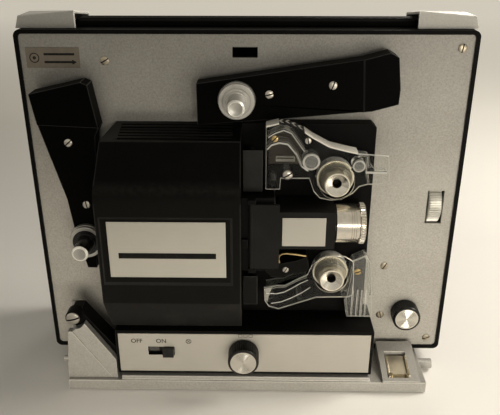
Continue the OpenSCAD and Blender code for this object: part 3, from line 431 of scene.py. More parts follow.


# Case: a black rim round the plate, with a plain moulded case and its vented cover behind.
# All have a fine wrinkle paint, polished a little along the edges and paler there: wear, and a painted
# highlight.
# Four steel screws hold the cover, and the mains inlet is set in it.
def wrinkle(name, tone, pebble, rough, depth, shine=0.06):
    """Black wrinkle paint: tight pebbles, pebble and depth in millimetres, with dusty hollows."""
    coat = Finish(name, Specular_IOR_Level=shine)
    inputs = {"Vector": coat.place(), "Scale": 1 / (pebble * MM)}
    bumps = coat.add("ShaderNodeTexVoronoi", {"feature": "SMOOTH_F1"}, inputs)
    dust = coat.between(coat.grain(20, 4.0), 0.5, 0.8)
    fine = coat.grain(0.3 * pebble)
    black, grey = shade((1.0, 1.0, 0.95), tone), shade((1.0, 0.97, 0.88), 2.6 * tone)
    coat.feed(Base_Color=coat.mix(0.45 * dust + 0.35 * bumps, black, grey))
    coat.feed(Roughness=rough + 0.12 * bumps + 0.06 * (fine - 0.5))
    return coat.relief(0.8 * bumps + 0.2 * fine, depth, 0.55)


case_black = wrinkle("case_black", tone=0.0024, pebble=0.9, rough=0.46, depth=0.09)
case_edge = wrinkle("case_black_edge", tone=0.006, pebble=0.9, rough=0.34, depth=0.04)
eased("case_rim", case_black, case_edge, 0.8)
rear_black = wrinkle("rear_black", tone=0.010, pebble=1.2, rough=0.40, depth=0.10, shine=0.25)
rear_edge = wrinkle("rear_black_edge", tone=0.022, pebble=1.2, rough=0.30, depth=0.04, shine=0.3)
eased("rear_case", rear_black, rear_edge, 0.6)
eased("rear_cover", rear_black, rear_edge, 0.4)
wear("rear_screws", screw_steel)
wear("power_inlet", case_black)

# End caps: two thin drawn aluminium shells that cover the ends of the carrying strap.
# They are open towards the middle, and the strap slides in them when it is lifted.
cap_alu = enamel("cap_aluminium", (0.41, 0.40, 0.37, 1), (0.49, 0.48, 0.445, 1), rough=0.46, metal=0.3)
cap_edge = enamel("cap_aluminium_edge", (0.48, 0.47, 0.44, 1), (0.58, 0.57, 0.54, 1), rough=0.32, metal=0.5)
eased("strap_caps", cap_alu, cap_edge, 0.5)


# Carrying strap: black moulded vinyl over a steel band, flat and a little crowned.
# Its two thinner ends run in the caps.
def quarter(y, z, radius, start, steps=5):
    """A quarter round about a centre, from a start angle in degrees."""
    turns = [math.radians(start + 90 * i / steps) for i in range(steps + 1)]
    return [(y + radius * math.cos(turn), z + radius * math.sin(turn)) for turn in turns]


def strap_section(width, height, crown, corner):
    """Cross-section of the strap: flat below, rounded edges and a crowned top with two grooves."""
    groove_share, groove_depth = 0.66, 0.7 * MM
    half = width / 2
    side = half - corner
    shoulder = height - corner - crown
    points = quarter(side, corner, corner, -90) + quarter(side, shoulder, corner, 0)
    for share in (0.72, groove_share, 0.60, 0.2, -0.2, -0.60, -groove_share, -0.72):
        sunk = groove_depth if abs(share) == groove_share else 0.0
        points.append((half * share, height - crown * share * share - sunk))
    return points + quarter(-side, shoulder, corner, 90) + quarter(-side, corner, corner, 180)


strap_vinyl = wrinkle("strap_vinyl", tone=0.0040, pebble=0.7, rough=0.55, depth=0.05, shine=0.02)
strap_low, strap_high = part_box("handle_strap")
strap_mid_x = 120.9 * MM
strap_mid_y = (strap_low.y + strap_high.y) / 2
strap_end_y = plate_y + 22.25 * MM
strap = bmesh.new()
mid_line = strap_section(strap_high.y - strap_low.y, strap_high.z - strap_low.z, 1.6 * MM, 1.4 * MM)
mid_outline = [(strap_mid_y + a, strap_low.z + b) for a, b in mid_line]
extruded(strap, mid_outline, -strap_mid_x, strap_mid_x, "X")
end_line = strap_section(15.5 * MM, 2.8 * MM, 0.2 * MM, 0.8 * MM)
end_outline = [(strap_end_y + a, strap_low.z + b) for a, b in end_line]
for side in (-1, 1):
    near, far = sorted((side * strap_mid_x, side * strap_high.x))
    extruded(strap, end_outline, near, far, "X")
instead("handle_strap", "carrying_strap", strap, [strap_vinyl])

# Label plate: a small stamped plate at the top left, glued to the main plate.
# It is printed with a reel ring and, beside it, a plain rule over an arrow.
label_metal = turned("label_metal", (0.22, 0.19, 0.15, 1), 0.46, "Z", 0.4, metal=0.4)
wear("rewind_plate", label_metal)


def print_ink(name, tone):
    """Screen-printed ink: thin, slightly uneven, a little worn."""
    coat = Finish(name, Specular_IOR_Level=0.12)
    worn = coat.between(coat.grain(1.1, 3.0), 0.55, 0.85)
    pale_tone = 4 * tone + 0.01
    coat.feed(Base_Color=coat.mix(worn, (tone, tone, tone, 1), (pale_tone, pale_tone, 3.6 * tone, 1)))
    coat.feed(Roughness=0.5 + 0.2 * worn)
    return coat.relief(coat.grain(0.4, 1.0), 0.01, 0.4)


def laid_on(name, outlines, face_y, thick, finish):
    """Flat pieces or printed marks on the machine's front: outlines in X and Z, in millimetres, on a face."""
    solid = bmesh.new()
    for outline in outlines:
        extruded(solid, [(x * MM, z * MM) for x, z in outline], face_y - thick * MM, face_y, "Y")
    return joined(name, solid, [finish], "chassis")


def ring_tiles(x, z, outer, inner, count=28):
    """Short four-sided tiles that make a printed ring."""
    tiles = []
    for i in range(count):
        turns = [2 * math.pi * k / count for k in (i, i + 1)]
        tile = [(x + outer * math.cos(turn), z + outer * math.sin(turn)) for turn in turns]
        tile += [(x + inner * math.cos(turn), z + inner * math.sin(turn)) for turn in reversed(turns)]
        tiles.append(tile)
    return tiles


def bar(left, right, top, foot):
    """A printed bar between its sides."""
    return [(left, top), (right, top), (right, foot), (left, foot)]


ink_thick = 0.04
label_ink = print_ink("label_ink", 0.012)
label_low, label_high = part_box("rewind_plate")
label_z = (label_low.z + label_high.z) / 2 / MM
ring_x = label_low.x / MM + 6
rule_x = label_low.x / MM + 13
arrow_x = rule_x + 20
arrow_z = label_z - 3.0
label_marks = ring_tiles(ring_x, label_z, 3.6, 2.9) + ring_tiles(ring_x, label_z, 1.2, 0.2, 14)
label_marks += [
    bar(rule_x, rule_x + 22, label_z + 3.4, label_z + 1.8),
    bar(rule_x, arrow_x, arrow_z + 0.8, arrow_z - 0.8),
    [(arrow_x, arrow_z + 1.8), (arrow_x + 3.4, arrow_z), (arrow_x, arrow_z - 1.8)],
]
laid_on("label_marks", label_marks, label_low.y, ink_thick, label_ink)

# Control box: a black die casting along the foot of the plate, with the pivot lug at its left.
# A brushed panel is cemented to its front, printed with plain signs for the switch and knob.
eased("control_box", case_black, case_edge, 0.7)


def brushed(name, colour, rough, metal, along=(1, 60, 60)):
    """Brushed sheet: long fine scratches one way, faint cloudiness."""
    coat = Finish(name, Metallic=metal, Specular_IOR_Level=0.45)
    scratch = coat.grain(12, 3.0, along)
    cloud = coat.between(coat.grain(30, 3.0), 0.35, 0.7)
    coat.feed(Base_Color=coat.mix(0.55 * scratch + 0.25 * cloud, colour, shade(colour, 0.80)))
    coat.feed(Roughness=rough + 0.16 * (scratch - 0.5))
    return coat.relief(scratch, 0.02, 0.5)


panel_metal = brushed("panel_metal", (0.405, 0.388, 0.348, 1), rough=0.42, metal=0.4)
panel_edge = brushed("panel_edge", (0.60, 0.58, 0.53, 1), rough=0.32, metal=0.6)
eased("control_panel", panel_metal, panel_edge, 0.25)
panel_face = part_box("control_panel")[0].y
black_ink = print_ink("black_ink", 0.004)
legend_z, letter_height = 46.3, 3.6


def lettered(name, words, x):
    """A short printed word on the panel, centred on x, a hair proud of its face."""
    proud = 0.02 * MM
    line = bpy.data.curves.new(name, "FONT")
    line.body = words
    line.size = 1.45 * letter_height * MM
    line.align_x = "CENTER"
    line.align_y = "CENTER"
    line.extrude = proud
    line.offset = 0.05 * MM
    flat = shown(name + "_line", line)
    bpy.context.view_layer.update()
    mesh = bpy.data.meshes.new_from_object(flat.evaluated_get(bpy.context.evaluated_depsgraph_get()))
    bpy.data.objects.remove(flat)
    upright = Matrix.Rotation(math.pi / 2, 4, "X")
    mesh.transform(Matrix.Translation((x * MM, panel_face - proud, legend_z * MM)) @ upright)
    mesh.materials.clear()
    mesh.materials.append(black_ink.material)
    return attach(shown(name, mesh), "chassis")


lettered("legend_off", "OFF", -86)
lettered("legend_on", "ON", -66.6)
lamp_x, lamp_outer, lamp_inner, half_line = -45, 2.2, 1.75, 0.2
lamp_sign = ring_tiles(lamp_x, legend_z, lamp_outer, lamp_inner, 24)
for turn in (45, 135):
    dx, dz = math.cos(math.radians(turn)), math.sin(math.radians(turn))
    stroke = []
    for end, side in ((1, 1), (1, -1), (-1, -1), (-1, 1)):
        reach, out = end * lamp_inner, side * half_line
        stroke.append((lamp_x + reach * dx - out * dz, legend_z + reach * dz + out * dx))
    lamp_sign.append(stroke)
laid_on("legend_lamp", lamp_sign, panel_face, ink_thick, black_ink)
sign_foot, sign_top, sign_wide, sign_line = 50.4, 53.3, 3, 0.3
inner_foot, inner_top = sign_foot + sign_line, sign_top - sign_line
frame_sign = []
for left in (-5.6, -1.6, 2.4):
    right = left + sign_wide
    frame_sign += [
        bar(left, right, inner_foot, sign_foot), bar(left, right, sign_top, inner_top),
        bar(left, left + sign_line, inner_top, inner_foot),
        bar(right - sign_line, right, inner_top, inner_foot),
    ]
laid_on("legend_frame", frame_sign, panel_face, ink_thick, black_ink)

# Slide switch: a moulded black nub that runs in the panel's slot.
# It slides on a phenolic body, which two lugs hold on the box's front wall.
moulded_black = wrinkle("moulded_black", tone=0.0020, pebble=0.5, rough=0.24, depth=0.01, shine=0.4)
moulded_edge = wrinkle("moulded_edge", tone=0.007, pebble=0.5, rough=0.24, depth=0.01, shine=0.4)
eased("switch_slider", moulded_black, moulded_edge, 0.4)
phenolic = rubber("phenolic", 0.05, 0.4)
wear("switch_body", phenolic)


# Framing knob and tilt knob: black moulded knobs with straight ribs round the side.
# Each has a spun aluminium disc let into its front.
def spun(name, x, z):
    """Spun aluminium disc: tight circular tool lines about a centre, bright and a bit oily."""
    coat = Finish(name, Metallic=1.0)
    lines = coat.lines(coat.away((1, 0, 1), (x, 0, z)), 1 / 5.2)
    smear = coat.between(coat.grain(6, 3.0), 0.4, 0.7)
    bright, dull = (0.72, 0.69, 0.62, 1), (0.52, 0.50, 0.45, 1)
    coat.feed(Base_Color=coat.mix(0.5 * lines + 0.2 * smear, bright, dull))
    coat.feed(Roughness=0.20 + 0.08 * smear)
    return coat.relief(lines, 0.02, 0.5)


def stepped(steps, start, way, radius):
    """Profile points from (along, inward) steps in millimetres, from a start and a radius in metres."""
    return [(start + way * along * MM, radius - inward * MM) for along, inward in steps]


shaft_r = 3 * MM
knob_front = [(0, 1.0), (0.4, 0.5), (1.0, 0.2), (1.1, 0)]
knob_back = [(1.2, 0), (1.1, 0.1), (0.3, 0.4), (0, 1.0)]


def ribbed_knob(kind, axis, back, ribs, pinion=()):
    """A knob and its disc in place of their plain CAD solids: ribbed barrel, rolled rim, shaft behind."""
    knob, face = kind + "_knob", kind + "_face"
    low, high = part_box(knob)
    face_low, face_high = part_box(face)
    radius = (high.x - low.x) / 2
    inset = face_high.x - axis.x
    profile = [(low.y + 0.8 * MM, inset), (low.y, inset)]
    profile += stepped(knob_front, low.y, 1, radius) + stepped(knob_back, back, -1, radius)
    profile += [(back, shaft_r), *pinion, (high.y, shaft_r)]
    solid = bmesh.new()
    lathe(solid, profile, axis, "Y", ribs=ribs, rib_depth=0.9 * MM, rib_rows=(5, 6))
    instead(knob, knob + "_ribbed", solid, [moulded_black], 28)
    pitch, groove, play = 0.45 * MM, 0.18 * MM, 0.2 * MM
    disc_line = [(face_low.y + play, 0.3 * MM)]
    for i in range(1, int((inset - 0.5 * MM) / pitch)):
        disc_line.append((face_low.y + (groove if i % 2 else 0.0), i * pitch))
    disc_line += [
        (face_low.y, inset - 2 * play), (face_low.y + play, inset - play), (face_high.y, inset - play),
    ]
    solid = bmesh.new()
    lathe(solid, disc_line, axis, "Y", 72)
    instead(face, face + "_spun", solid, [spun(kind + "_spun", axis.x, axis.z)], 4)


knob_gap = 0.3 * MM
ribbed_knob("framing", at(-1.5, 0, 36.9), panel_face - knob_gap, 44)
pinion_r, pinion_near, pinion_far = 7 * MM, plate_y + 8 * MM, plate_y + 16 * MM
ribbed_knob("tilt", at(132.5, 0, 49), plate_y - knob_gap, 40, [
    (pinion_near, shaft_r), (pinion_near, pinion_r), (pinion_far, pinion_r), (pinion_far, shaft_r)])

# Tilt leg: a plain bar of bright drawn steel in a guide behind the plate.
# The tilt knob's friction pinion pushes it down on the base.
bright_steel = turned("bright_steel", (0.52, 0.51, 0.48, 1), 0.30, "X")
wear("tilt_leg", bright_steel)

# Lamp house: a pressed steel hood in wrinkle black, flared to the front, with slots in its roof.
# Painted light: a lighter front, a bend highlight, a lit facet below and roof highlights outside the arm's
# shadow.
# A brushed plate with a plain dark rule is set in the recess of its front.
house_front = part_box("lamp_house")[0].y
bend_top, bend_foot, bend_r = 172 * MM, 83 * MM, 7 * MM
roof_back, roof_fall = 213.28 * MM, 6.5 / 30
front_light_share, bend_highlight_share, roof_highlight_share = 0.30, 0.75, 0.85
house_black = wrinkle("house_black", tone=0.0016, pebble=1.1, rough=0.42, depth=0.1, shine=0.04)
house_z = house_black.along("Z")
on_slope = house_black.between(house_z, bend_top - 4 * MM, bend_top + 4 * MM)
off_bend = house_black.between(abs(house_z - bend_top - 3 * MM), 0.0, bend_r)
highlight_spots = house_black.between(house_black.grain(4, 4.0), 0.2, 0.6)
# Painted light: the front is lighter than the slope above it, and a spotty painted highlight runs along the
# bend.
painted_front_light = front_light_share - front_light_share * on_slope
painted_bend_highlight = (bend_highlight_share - bend_highlight_share * off_bend) * highlight_spots
house_black.over(house_black.larger(painted_bend_highlight, painted_front_light), (0.0125, 0.0122, 0.0108, 1))
# Painted highlight on the roof's louvre tops, stopped towards the right where the arm's shadow falls.
roof_height = house_z - roof_fall * (house_black.along("Y") - plate_y)
on_roof = house_black.between(roof_height, roof_back - 0.8 * MM, roof_back - 0.2 * MM)
in_arm_shadow = house_black.between(house_black.along("X"), -90 * MM, -20 * MM)
house_black.over(roof_highlight_share * (on_roof * (1 - in_arm_shadow)), (0.050, 0.048, 0.042, 1))
house_edge = wrinkle("house_black_edge", tone=0.012, pebble=1.1, rough=0.32, depth=0.04)
# A lighter copy of the paint for the facet under the front: painted light, as if lit from below.
house_lit_foot = wrinkle("house_black_lit_foot", tone=0.008, pebble=1.1, rough=0.42, depth=0.1)


def house_bends(solid):
    """Rolls the bend between the hood's slope and front, and marks the facet under the front for painted
    light from below.
    """
    near = 0.2 * MM
    bend = []
    for line in solid.edges:
        spots = [v.co for v in line.verts]
        if all(abs(spot.z - bend_top) < near and abs(spot.y - house_front) < near for spot in spots):
            bend.append(line)
    bmesh.ops.bevel(
        solid, geom=bend, offset=bend_r, offset_type="OFFSET", segments=6, profile=0.5, affect="EDGES",
    )
    for facet in solid.faces:
        if facet.calc_center_median().z < bend_foot and facet.normal.y < -0.8 and facet.normal.z < -0.1:
            facet.material_index = 2


hood = eased("lamp_house", house_black, house_edge, 0.9, bend=house_bends)
hood.data.materials.append(house_lit_foot.material)
name_metal = brushed("name_metal", (0.43, 0.414, 0.37, 1), rough=0.40, metal=0.4)
name_edge = brushed("name_edge", (0.60, 0.58, 0.53, 1), rough=0.32, metal=0.6)
eased("name_plate", name_metal, name_edge, 0.25)
house_rule = bar(-93.4, -21.4, 126.0, 121.4)
laid_on("name_plate_rule", [house_rule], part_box("name_plate")[0].y, ink_thick, black_ink)


# Lamp and its holder inside the hood: a clear tube lamp with its reflector, base down.
# It stands in a ceramic socket on the control box's roof.
def clear(name, tint, rough, index, dirt, through=1.0):
    """Clear or milky glass or plastic with faint smears."""
    coat = Finish(name, Transmission_Weight=through, IOR=index, Base_Color=tint)
    smear = coat.between(coat.grain(8, 4.0), 0.45, 0.8)
    coat.feed(Roughness=rough + dirt * smear)
    return coat.relief(coat.grain(2), 0.01, 0.3)


lamp_glass = clear("lamp_glass", (0.95, 0.95, 0.92, 1), rough=0.02, index=1.5, dirt=0.05)
wear("lamp", lamp_glass)
ceramic = enamel("ceramic", (0.62, 0.58, 0.50, 1), (0.70, 0.66, 0.58, 1), rough=0.5, metal=0.0)
wear("lamp_socket", ceramic)

# Reel arms: black moulded arms, hollow behind, folded flat on the plate on their pivots.
# Two slotted screws go into each arm, and a turned spindle runs at its far end.
arm_black = wrinkle("arm_black", tone=0.0006, pebble=0.8, rough=0.44, depth=0.07, shine=0.03)
arm_edge = wrinkle("arm_black_edge", tone=0.006, pebble=0.8, rough=0.28, depth=0.03, shine=0.3)
arm_screw = {"face": -19, "radius": 3, "rise": 1.2, "slot": 0.9, "shank_r": 1.5, "shank": 6}
eased("supply_arm", arm_black, arm_edge, 0.4)
eased("take_up_arm", arm_black, arm_edge, 0.4)
screws("supply_screws", screw_steel, [(61.1, 244.8, 70), (16.7, 238.2, 15)], **arm_screw)
screws("take_up_screws", screw_steel, [(-129.1, 202, 40), (-120.6, 153, 100)], **arm_screw)
spindle_metal = turned("spindle_metal", (0.52, 0.51, 0.48, 1), 0.38, "Y")
pin_rim = turned("pin_rim", (0.90, 0.88, 0.82, 1), 0.34, "Y", metal=0.5)


def from_plate(line):
    """A turning profile in metres from millimetres, its places counted from the main plate's face."""
    return [(plate_y + y * MM, radius * MM) for y, radius in line]


def spindle(node, x, z, pulley, sleeve):
    """A reel spindle, turned in one: dished pin end with a bright rim, step, collar, pulley, shaft.
    The spans listed in sleeve are cased in black plastic."""
    line = [
        (-44.4, 0.8), (-44.7, 3.4), (-45.2, 4.6), (-45.2, 5.1), (-44.0, 6.2), (-27.0, 6.2), (-27.0, 7.3),
        (-26.8, 7.6), (-25.8, 7.6), (-25.8, 9.4), (-25.5, 9.6), (-25.5, 10.0), (-25.8, 10.2), (-25.8, 12.4),
        (-25.5, 12.75), (-23.4, 13.0), (-23.2, 12.8), (-22.8, 12.85), (-22.6, 13.1), (-19.6, 13.5),
        (-19.3, 13.3), (-19.3, 3.0), (-13.8, 3.0), (-13.8, pulley), (-8.0, pulley), (-8.0, 3.0), (-7.0, 3.0),
    ]
    coats = [(2, 2), (3, 2)] + [(span, 1) for span in sleeve]
    solid = bmesh.new()
    lathe(solid, from_plate(line), at(x, 0, z), "Y", coats=coats)
    return instead(node, node + "_turned", solid, [spindle_metal, moulded_black, pin_rim], 24)


spindle("supply_spindle", -6.2, 234.4, 7.0, ())
spindle("take_up_spindle", -122.4, 124.2, 3.8, range(4, 12))

# Film block: a black casting screwed to the plate, which carries the gate and the guides.
# A grey painted steel shield, darker in its lower part, keeps stray light off the film.
# The film runs over a bright steel aperture plate.
block_black = wrinkle("block_black", tone=0.0022, pebble=1.0, rough=0.50, depth=0.06)
block_edge = wrinkle("block_black_edge", tone=0.006, pebble=1.0, rough=0.38, depth=0.03)
eased("film_block", block_black, block_edge, 0.5)
shield_paint = wrinkle("shield_paint", tone=0.014, pebble=0.8, rough=0.50, depth=0.05, shine=0.10)
shield_low, shield_up, dark_share = 120 * MM, 150 * MM, 0.9
lightness = shield_paint.between(shield_paint.along("Z"), shield_low, shield_up)
shield_paint.over(dark_share - dark_share * lightness, (0.0032, 0.0032, 0.0028, 1))
shield_edge = wrinkle("shield_edge", tone=0.030, pebble=0.8, rough=0.40, depth=0.03, shine=0.2)
eased("light_shield", shield_paint, shield_edge, 0.3)
wear("aperture_plate", bright_steel)

# Gate: the lens holder is a black block on a hinged door in front of the film channel.
# A bare brushed plate is glued to its face, and a steel sleeve for the lens slides in it.
carrier_black = wrinkle("carrier_black", tone=0.0050, pebble=1.0, rough=0.46, depth=0.06, shine=0.12)
eased("lens_carrier", carrier_black, block_edge, 0.6)
eased("lens_plate", name_metal, name_edge, 0.2)
wear("lens_sleeve", bright_steel)

# Lens: a nickel-plated barrel with turned bands and a knurled ring at the front.
# The coated front glass sits deep in the ring, whose inside is blackened.
nickel = turned("nickel", (0.74, 0.70, 0.62, 1), 0.20, "X", 0.4)
lens_axis = at(0, -28, 143.5)
barrel_low, barrel_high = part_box("lens_barrel")
ring_r = (barrel_high.z - barrel_low.z) / 2
ring_x0, ring_x1 = 83.6 * MM, barrel_high.x
barrel_r, barrel_x0 = 14.6 * MM, 66.1 * MM
tail_r, tail_bore = 8.9 * MM, 7.5 * MM
bore_line = [(8.05, 10.05), (4.0, 10.05), (4.0, 12.5), (0.6, 12.8), (0, 13.4)]
ring_front = [(0, 1.0), (0.4, 0.3), (0.8, 0)]
ring_back = [(1.0, 0), (0.6, 0.3), (0.2, 0.8)]
neck = [(0, 1.0), (0.8, 1.0), (1.0, 0)]
groove = [(0, 0), (0.2, 0.6), (0.6, 0.6), (0.8, 0)]
barrel_line = [(ring_x1 - x * MM, radius * MM) for x, radius in bore_line]
barrel_line += stepped(ring_front, ring_x1, -1, ring_r) + stepped(ring_back, ring_x0, 1, ring_r)
barrel_line += stepped(neck, ring_x0, -1, barrel_r)
for groove_x in (2.4, 4.0, 5.6):
    barrel_line += stepped(groove, ring_x0 - groove_x * MM, -1, barrel_r)
barrel_line += stepped([(0.8, 0), (0, 0.8)], barrel_x0, 1, barrel_r)
barrel_line += [(barrel_x0, tail_r), (barrel_low.x, tail_r), (barrel_low.x, tail_bore)]
barrel = bmesh.new()
lathe(barrel, barrel_line, lens_axis, "X", ribs=38, rib_depth=0.8 * MM, rib_rows=(7, 8),
      coats=[(span, 1) for span in range(-1, 4)])
instead("lens_barrel", "lens_barrel_turned", barrel, [nickel, block_black], 24)
coated_glass = clear("coated_glass", (0.62, 0.68, 0.80, 1), rough=0.01, index=1.52, dirt=0.03)
wear("lens_glass", coated_glass)

# Film sprockets: cream moulded drums with a ring of teeth, behind turned metal hubs.
# The hubs are cones with a finely ribbed skirt, a flange and a bored, countersunk front.
sprocket_cream = rubber("sprocket_cream", 0.34, 0.38)
hub_metal = turned("hub_metal", (0.82, 0.77, 0.64, 1), 0.28, "Y", 0.5, metal=0.75)
bore_dark = rubber("bore_dark", 0.012, 0.5)
countersink = turned("countersink", (0.84, 0.81, 0.74, 1), 0.20, "Y", 0.4)
hub_line = [
    (-24.0, 3.5), (-32.4, 3.5), (-35.9, 8.1), (-36.0, 8.3), (-36.0, 8.8), (-35.7, 9.15), (-29.3, 10.75),
    (-29.2, 10.6), (-28.9, 10.68), (-28.8, 10.9), (-21.3, 12.8), (-21.3, 13.5), (-21.0, 13.8), (-19.6, 13.8),
    (-19.3, 13.5),
]
for drum in ("upper", "lower"):
    wear(drum + "_sprocket", sprocket_cream)
    node = drum + "_hub"
    hub_low, hub_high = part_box(node)
    hub = bmesh.new()
    lathe(hub, from_plate(hub_line), (hub_low + hub_high) / 2, "Y", ribs=44, rib_depth=0.35 * MM,
          rib_rows=(9, 10), coats=((-1, 1), (0, 1), (1, 2)))
    instead(node, node + "_turned", hub, [hub_metal, bore_dark, countersink], 24)

# Film guides: clear acrylic plates with moulded channel walls, held by posts on the film block.
# A clear chute leads the film out, and a dark moulded shoe forms the loop behind the lower guide.
clear_acrylic = clear("clear_acrylic", (0.97, 0.98, 0.97, 1), rough=0.02, index=1.2, dirt=0.05)
# The edges take a paler, less clear acrylic: a painted highlight for the glints along the plates' edges.
acrylic_edge = clear("acrylic_edge", (0.97, 0.95, 0.88, 1), rough=0.12, index=1.45, dirt=0.1, through=0.50)
acrylic_wall = clear("acrylic_wall", (0.92, 0.93, 0.90, 1), rough=0.05, index=1.4, dirt=0.06, through=0.88)
eased("upper_guide", clear_acrylic, acrylic_edge, 0.3, wall=acrylic_wall)
eased("lower_guide", clear_acrylic, acrylic_edge, 0.3, wall=acrylic_wall)
chute_acrylic = clear("chute_acrylic", (0.95, 0.96, 0.93, 1), rough=0.03, index=1.25, dirt=0.06, through=0.95)
eased("film_chute", chute_acrylic, acrylic_edge, 0.3, wall=acrylic_wall)
shoe_black = wrinkle("shoe_black", tone=0.0026, pebble=0.6, rough=0.30, depth=0.02)
shoe_edge = wrinkle("shoe_edge", tone=0.01, pebble=0.6, rough=0.22, depth=0.02)
eased("lower_shoe", shoe_black, shoe_edge, 0.5)

# Marked strip: a white printed strip on the top edge of the upper guide, glued on.
# Near its left end it has a black field of plain chevrons.
strip_mid_y = plate_y - 27 * MM
field_left, field_right = 23.5 * MM, 41.5 * MM
chevron_pitch, chevron_start, chevron_half = 2.2 * MM, 1.4 * MM, 4.2 * MM
printed_strip = Finish("printed_strip", Specular_IOR_Level=0.15)
strip_x = printed_strip.along("X")
off_middle = abs(printed_strip.along("Y") - strip_mid_y)
field = (strip_x > field_left) * (strip_x < field_right)
tooth = strip_x.calc("PINGPONG", strip_x - 0.5 * off_middle, chevron_pitch)
chevron = (tooth > chevron_start) * (off_middle < chevron_half)
soft = printed_strip.grain(2, 3.0)
white = printed_strip.mix(soft, (0.84, 0.81, 0.73, 1), (0.76, 0.73, 0.65, 1))
printed_strip.feed(Base_Color=printed_strip.mix(field * (1 - chevron), white, (0.01, 0.01, 0.01, 1)))
printed_strip.feed(Roughness=0.42 + 0.15 * soft)
printed_strip.relief(soft, 0.02, 0.3)
wear("upper_strip", printed_strip)

# Small pieces in the film path: slotted screws and roller rims on the guides, a brown card behind the
# loop, moulded lips along the channels, a bent brass wire that presses the film on the lower shoe,
# and a grey nylon heel on the lower guide's left end.
path_brass = turned("path_brass", (0.56, 0.42, 0.20, 1), 0.28, "Y")
guide_front = -32.0
guide_face = at(0, guide_front, 0).y


def path_screws(name, finish, heads):
    """Slotted screws of the film path; heads are (x, z, face, radius, rise, slot, tilt)."""
    solid = bmesh.new()
    for head in heads:
        slotted_head(solid, *head)
    return joined(name, solid, [finish, slot_grime], "chassis", 40)


path_screws("guide_screws", screw_steel, [
    (30.3, 183.0, guide_front, 3.6, 2.0, 1.0, 30), (44.2, 208.6, guide_front, 2.2, 0.9, 0.8, 100),
    (30.6, 105.4, guide_front, 2.3, 0.9, 0.8, 60)])
path_screws("brass_screws", path_brass, [
    (20.8, 210.0, guide_front, 2.4, 1.0, 0.8, 45), (87.4, 98.4, -22.0, 2.7, 1.0, 0.9, 20)])
rim_line = [
    (-0.9, 0.08), (-0.9, 0.2), (-0.3, 0.24), (-0.3, 0.7), (-0.9, 0.76), (-0.9, 0.94), (-0.6, 1.0), (0.0, 1.0)]
rollers = bmesh.new()
for x, z, radius in ((46.8, 193.6, 6.2), (80.8, 190.6, 4.5)):
    seat = at(x, -33.6, z)
    profile = [(seat.y + y * MM, radius * share * MM) for y, share in rim_line]
    lathe(rollers, profile, seat, "Y", 40, coats=((4, 1), (5, 1)))
joined("guide_rollers", rollers, [acrylic_wall, acrylic_edge], "chassis", 30)
brown_card = enamel("brown_card", (0.030, 0.022, 0.012, 1), (0.042, 0.030, 0.017, 1), rough=0.5, metal=0.0)
card = [(17.0, 184.5), (41.0, 184.5), (41.0, 196.0), (31.0, 211.0), (24.0, 213.0), (17.0, 208.0)]
laid_on("loop_card", [card], at(0, -11.0, 0).y, 1.2, brown_card)
lip_acrylic = clear("lip_acrylic", (0.90, 0.89, 0.84, 1), rough=0.15, index=1.45, dirt=0.1, through=0.4)
lips = []
for half, line in (
    (0.25, [(16.0, 84.6), (24.0, 84.2), (30.0, 85.8), (36.0, 89.4), (42.0, 93.6), (48.0, 96.6)]),
    (0.25, [(20.0, 75.4), (28.0, 77.0), (36.0, 80.8), (44.0, 85.6), (50.0, 90.2)]),
    (0.40, [(16.1, 210.9), (20.7, 213.9), (26.8, 216.2), (32.6, 213.9), (37.5, 207.0), (42.1, 200.6)]),
    (0.60, [(15.4, 202.1), (18.5, 205.4), (24.0, 207.1), (30.2, 206.0), (36.7, 198.1), (40.4, 189.5),
            (45.0, 186.2)]),
    (0.70, [(86.0, 185.3), (101.4, 184.9)]),
):
    lips.append([(x, z + half) for x, z in line] + [(x, z - half) for x, z in reversed(line)])
laid_on("guide_lips", lips, guide_face, 0.7, lip_acrylic)
clip_r, clip_y, clip_sides = 1.0 * MM, -31.0, 10
clip_line = [
    (25.6, 110.9), (24.8, 114.2), (25.4, 116.8), (27.6, 118.6), (31.0, 119.0), (38.0, 118.2), (46.0, 116.9)]
clip = bmesh.new()
clip_rings = []
for i, (x, z) in enumerate(clip_line):
    before, after = clip_line[max(i - 1, 0)], clip_line[min(i + 1, len(clip_line) - 1)]
    out = Vector((before[1] - after[1], 0, after[0] - before[0])).normalized()
    ring = []
    for k in range(clip_sides):
        turn = 2 * math.pi * k / clip_sides
        spoke = out * math.cos(turn) + Vector((0, math.sin(turn), 0))
        ring.append(clip.verts.new(at(x, clip_y, z) + clip_r * spoke))
    clip_rings.append(ring)
for first, second in zip(clip_rings, clip_rings[1:]):
    for k in range(clip_sides):
        j = (k + 1) % clip_sides
        clip.faces.new([first[k], first[j], second[j], second[k]])
clip.faces.new(clip_rings[0])
clip.faces.new(clip_rings[-1][::-1])
joined("shoe_clip", clip, [path_brass], "chassis", 60)
nylon = enamel("heel_nylon", (0.20, 0.20, 0.18, 1), (0.34, 0.33, 0.30, 1), rough=0.25, metal=0.3)
heel = [(14.7, 88.9), (21.0, 90.2), (18.2, 84.0), (17.2, 77.0), (15.1, 78.6)]
laid_on("guide_heel", [heel], guide_face, 0.5, nylon)

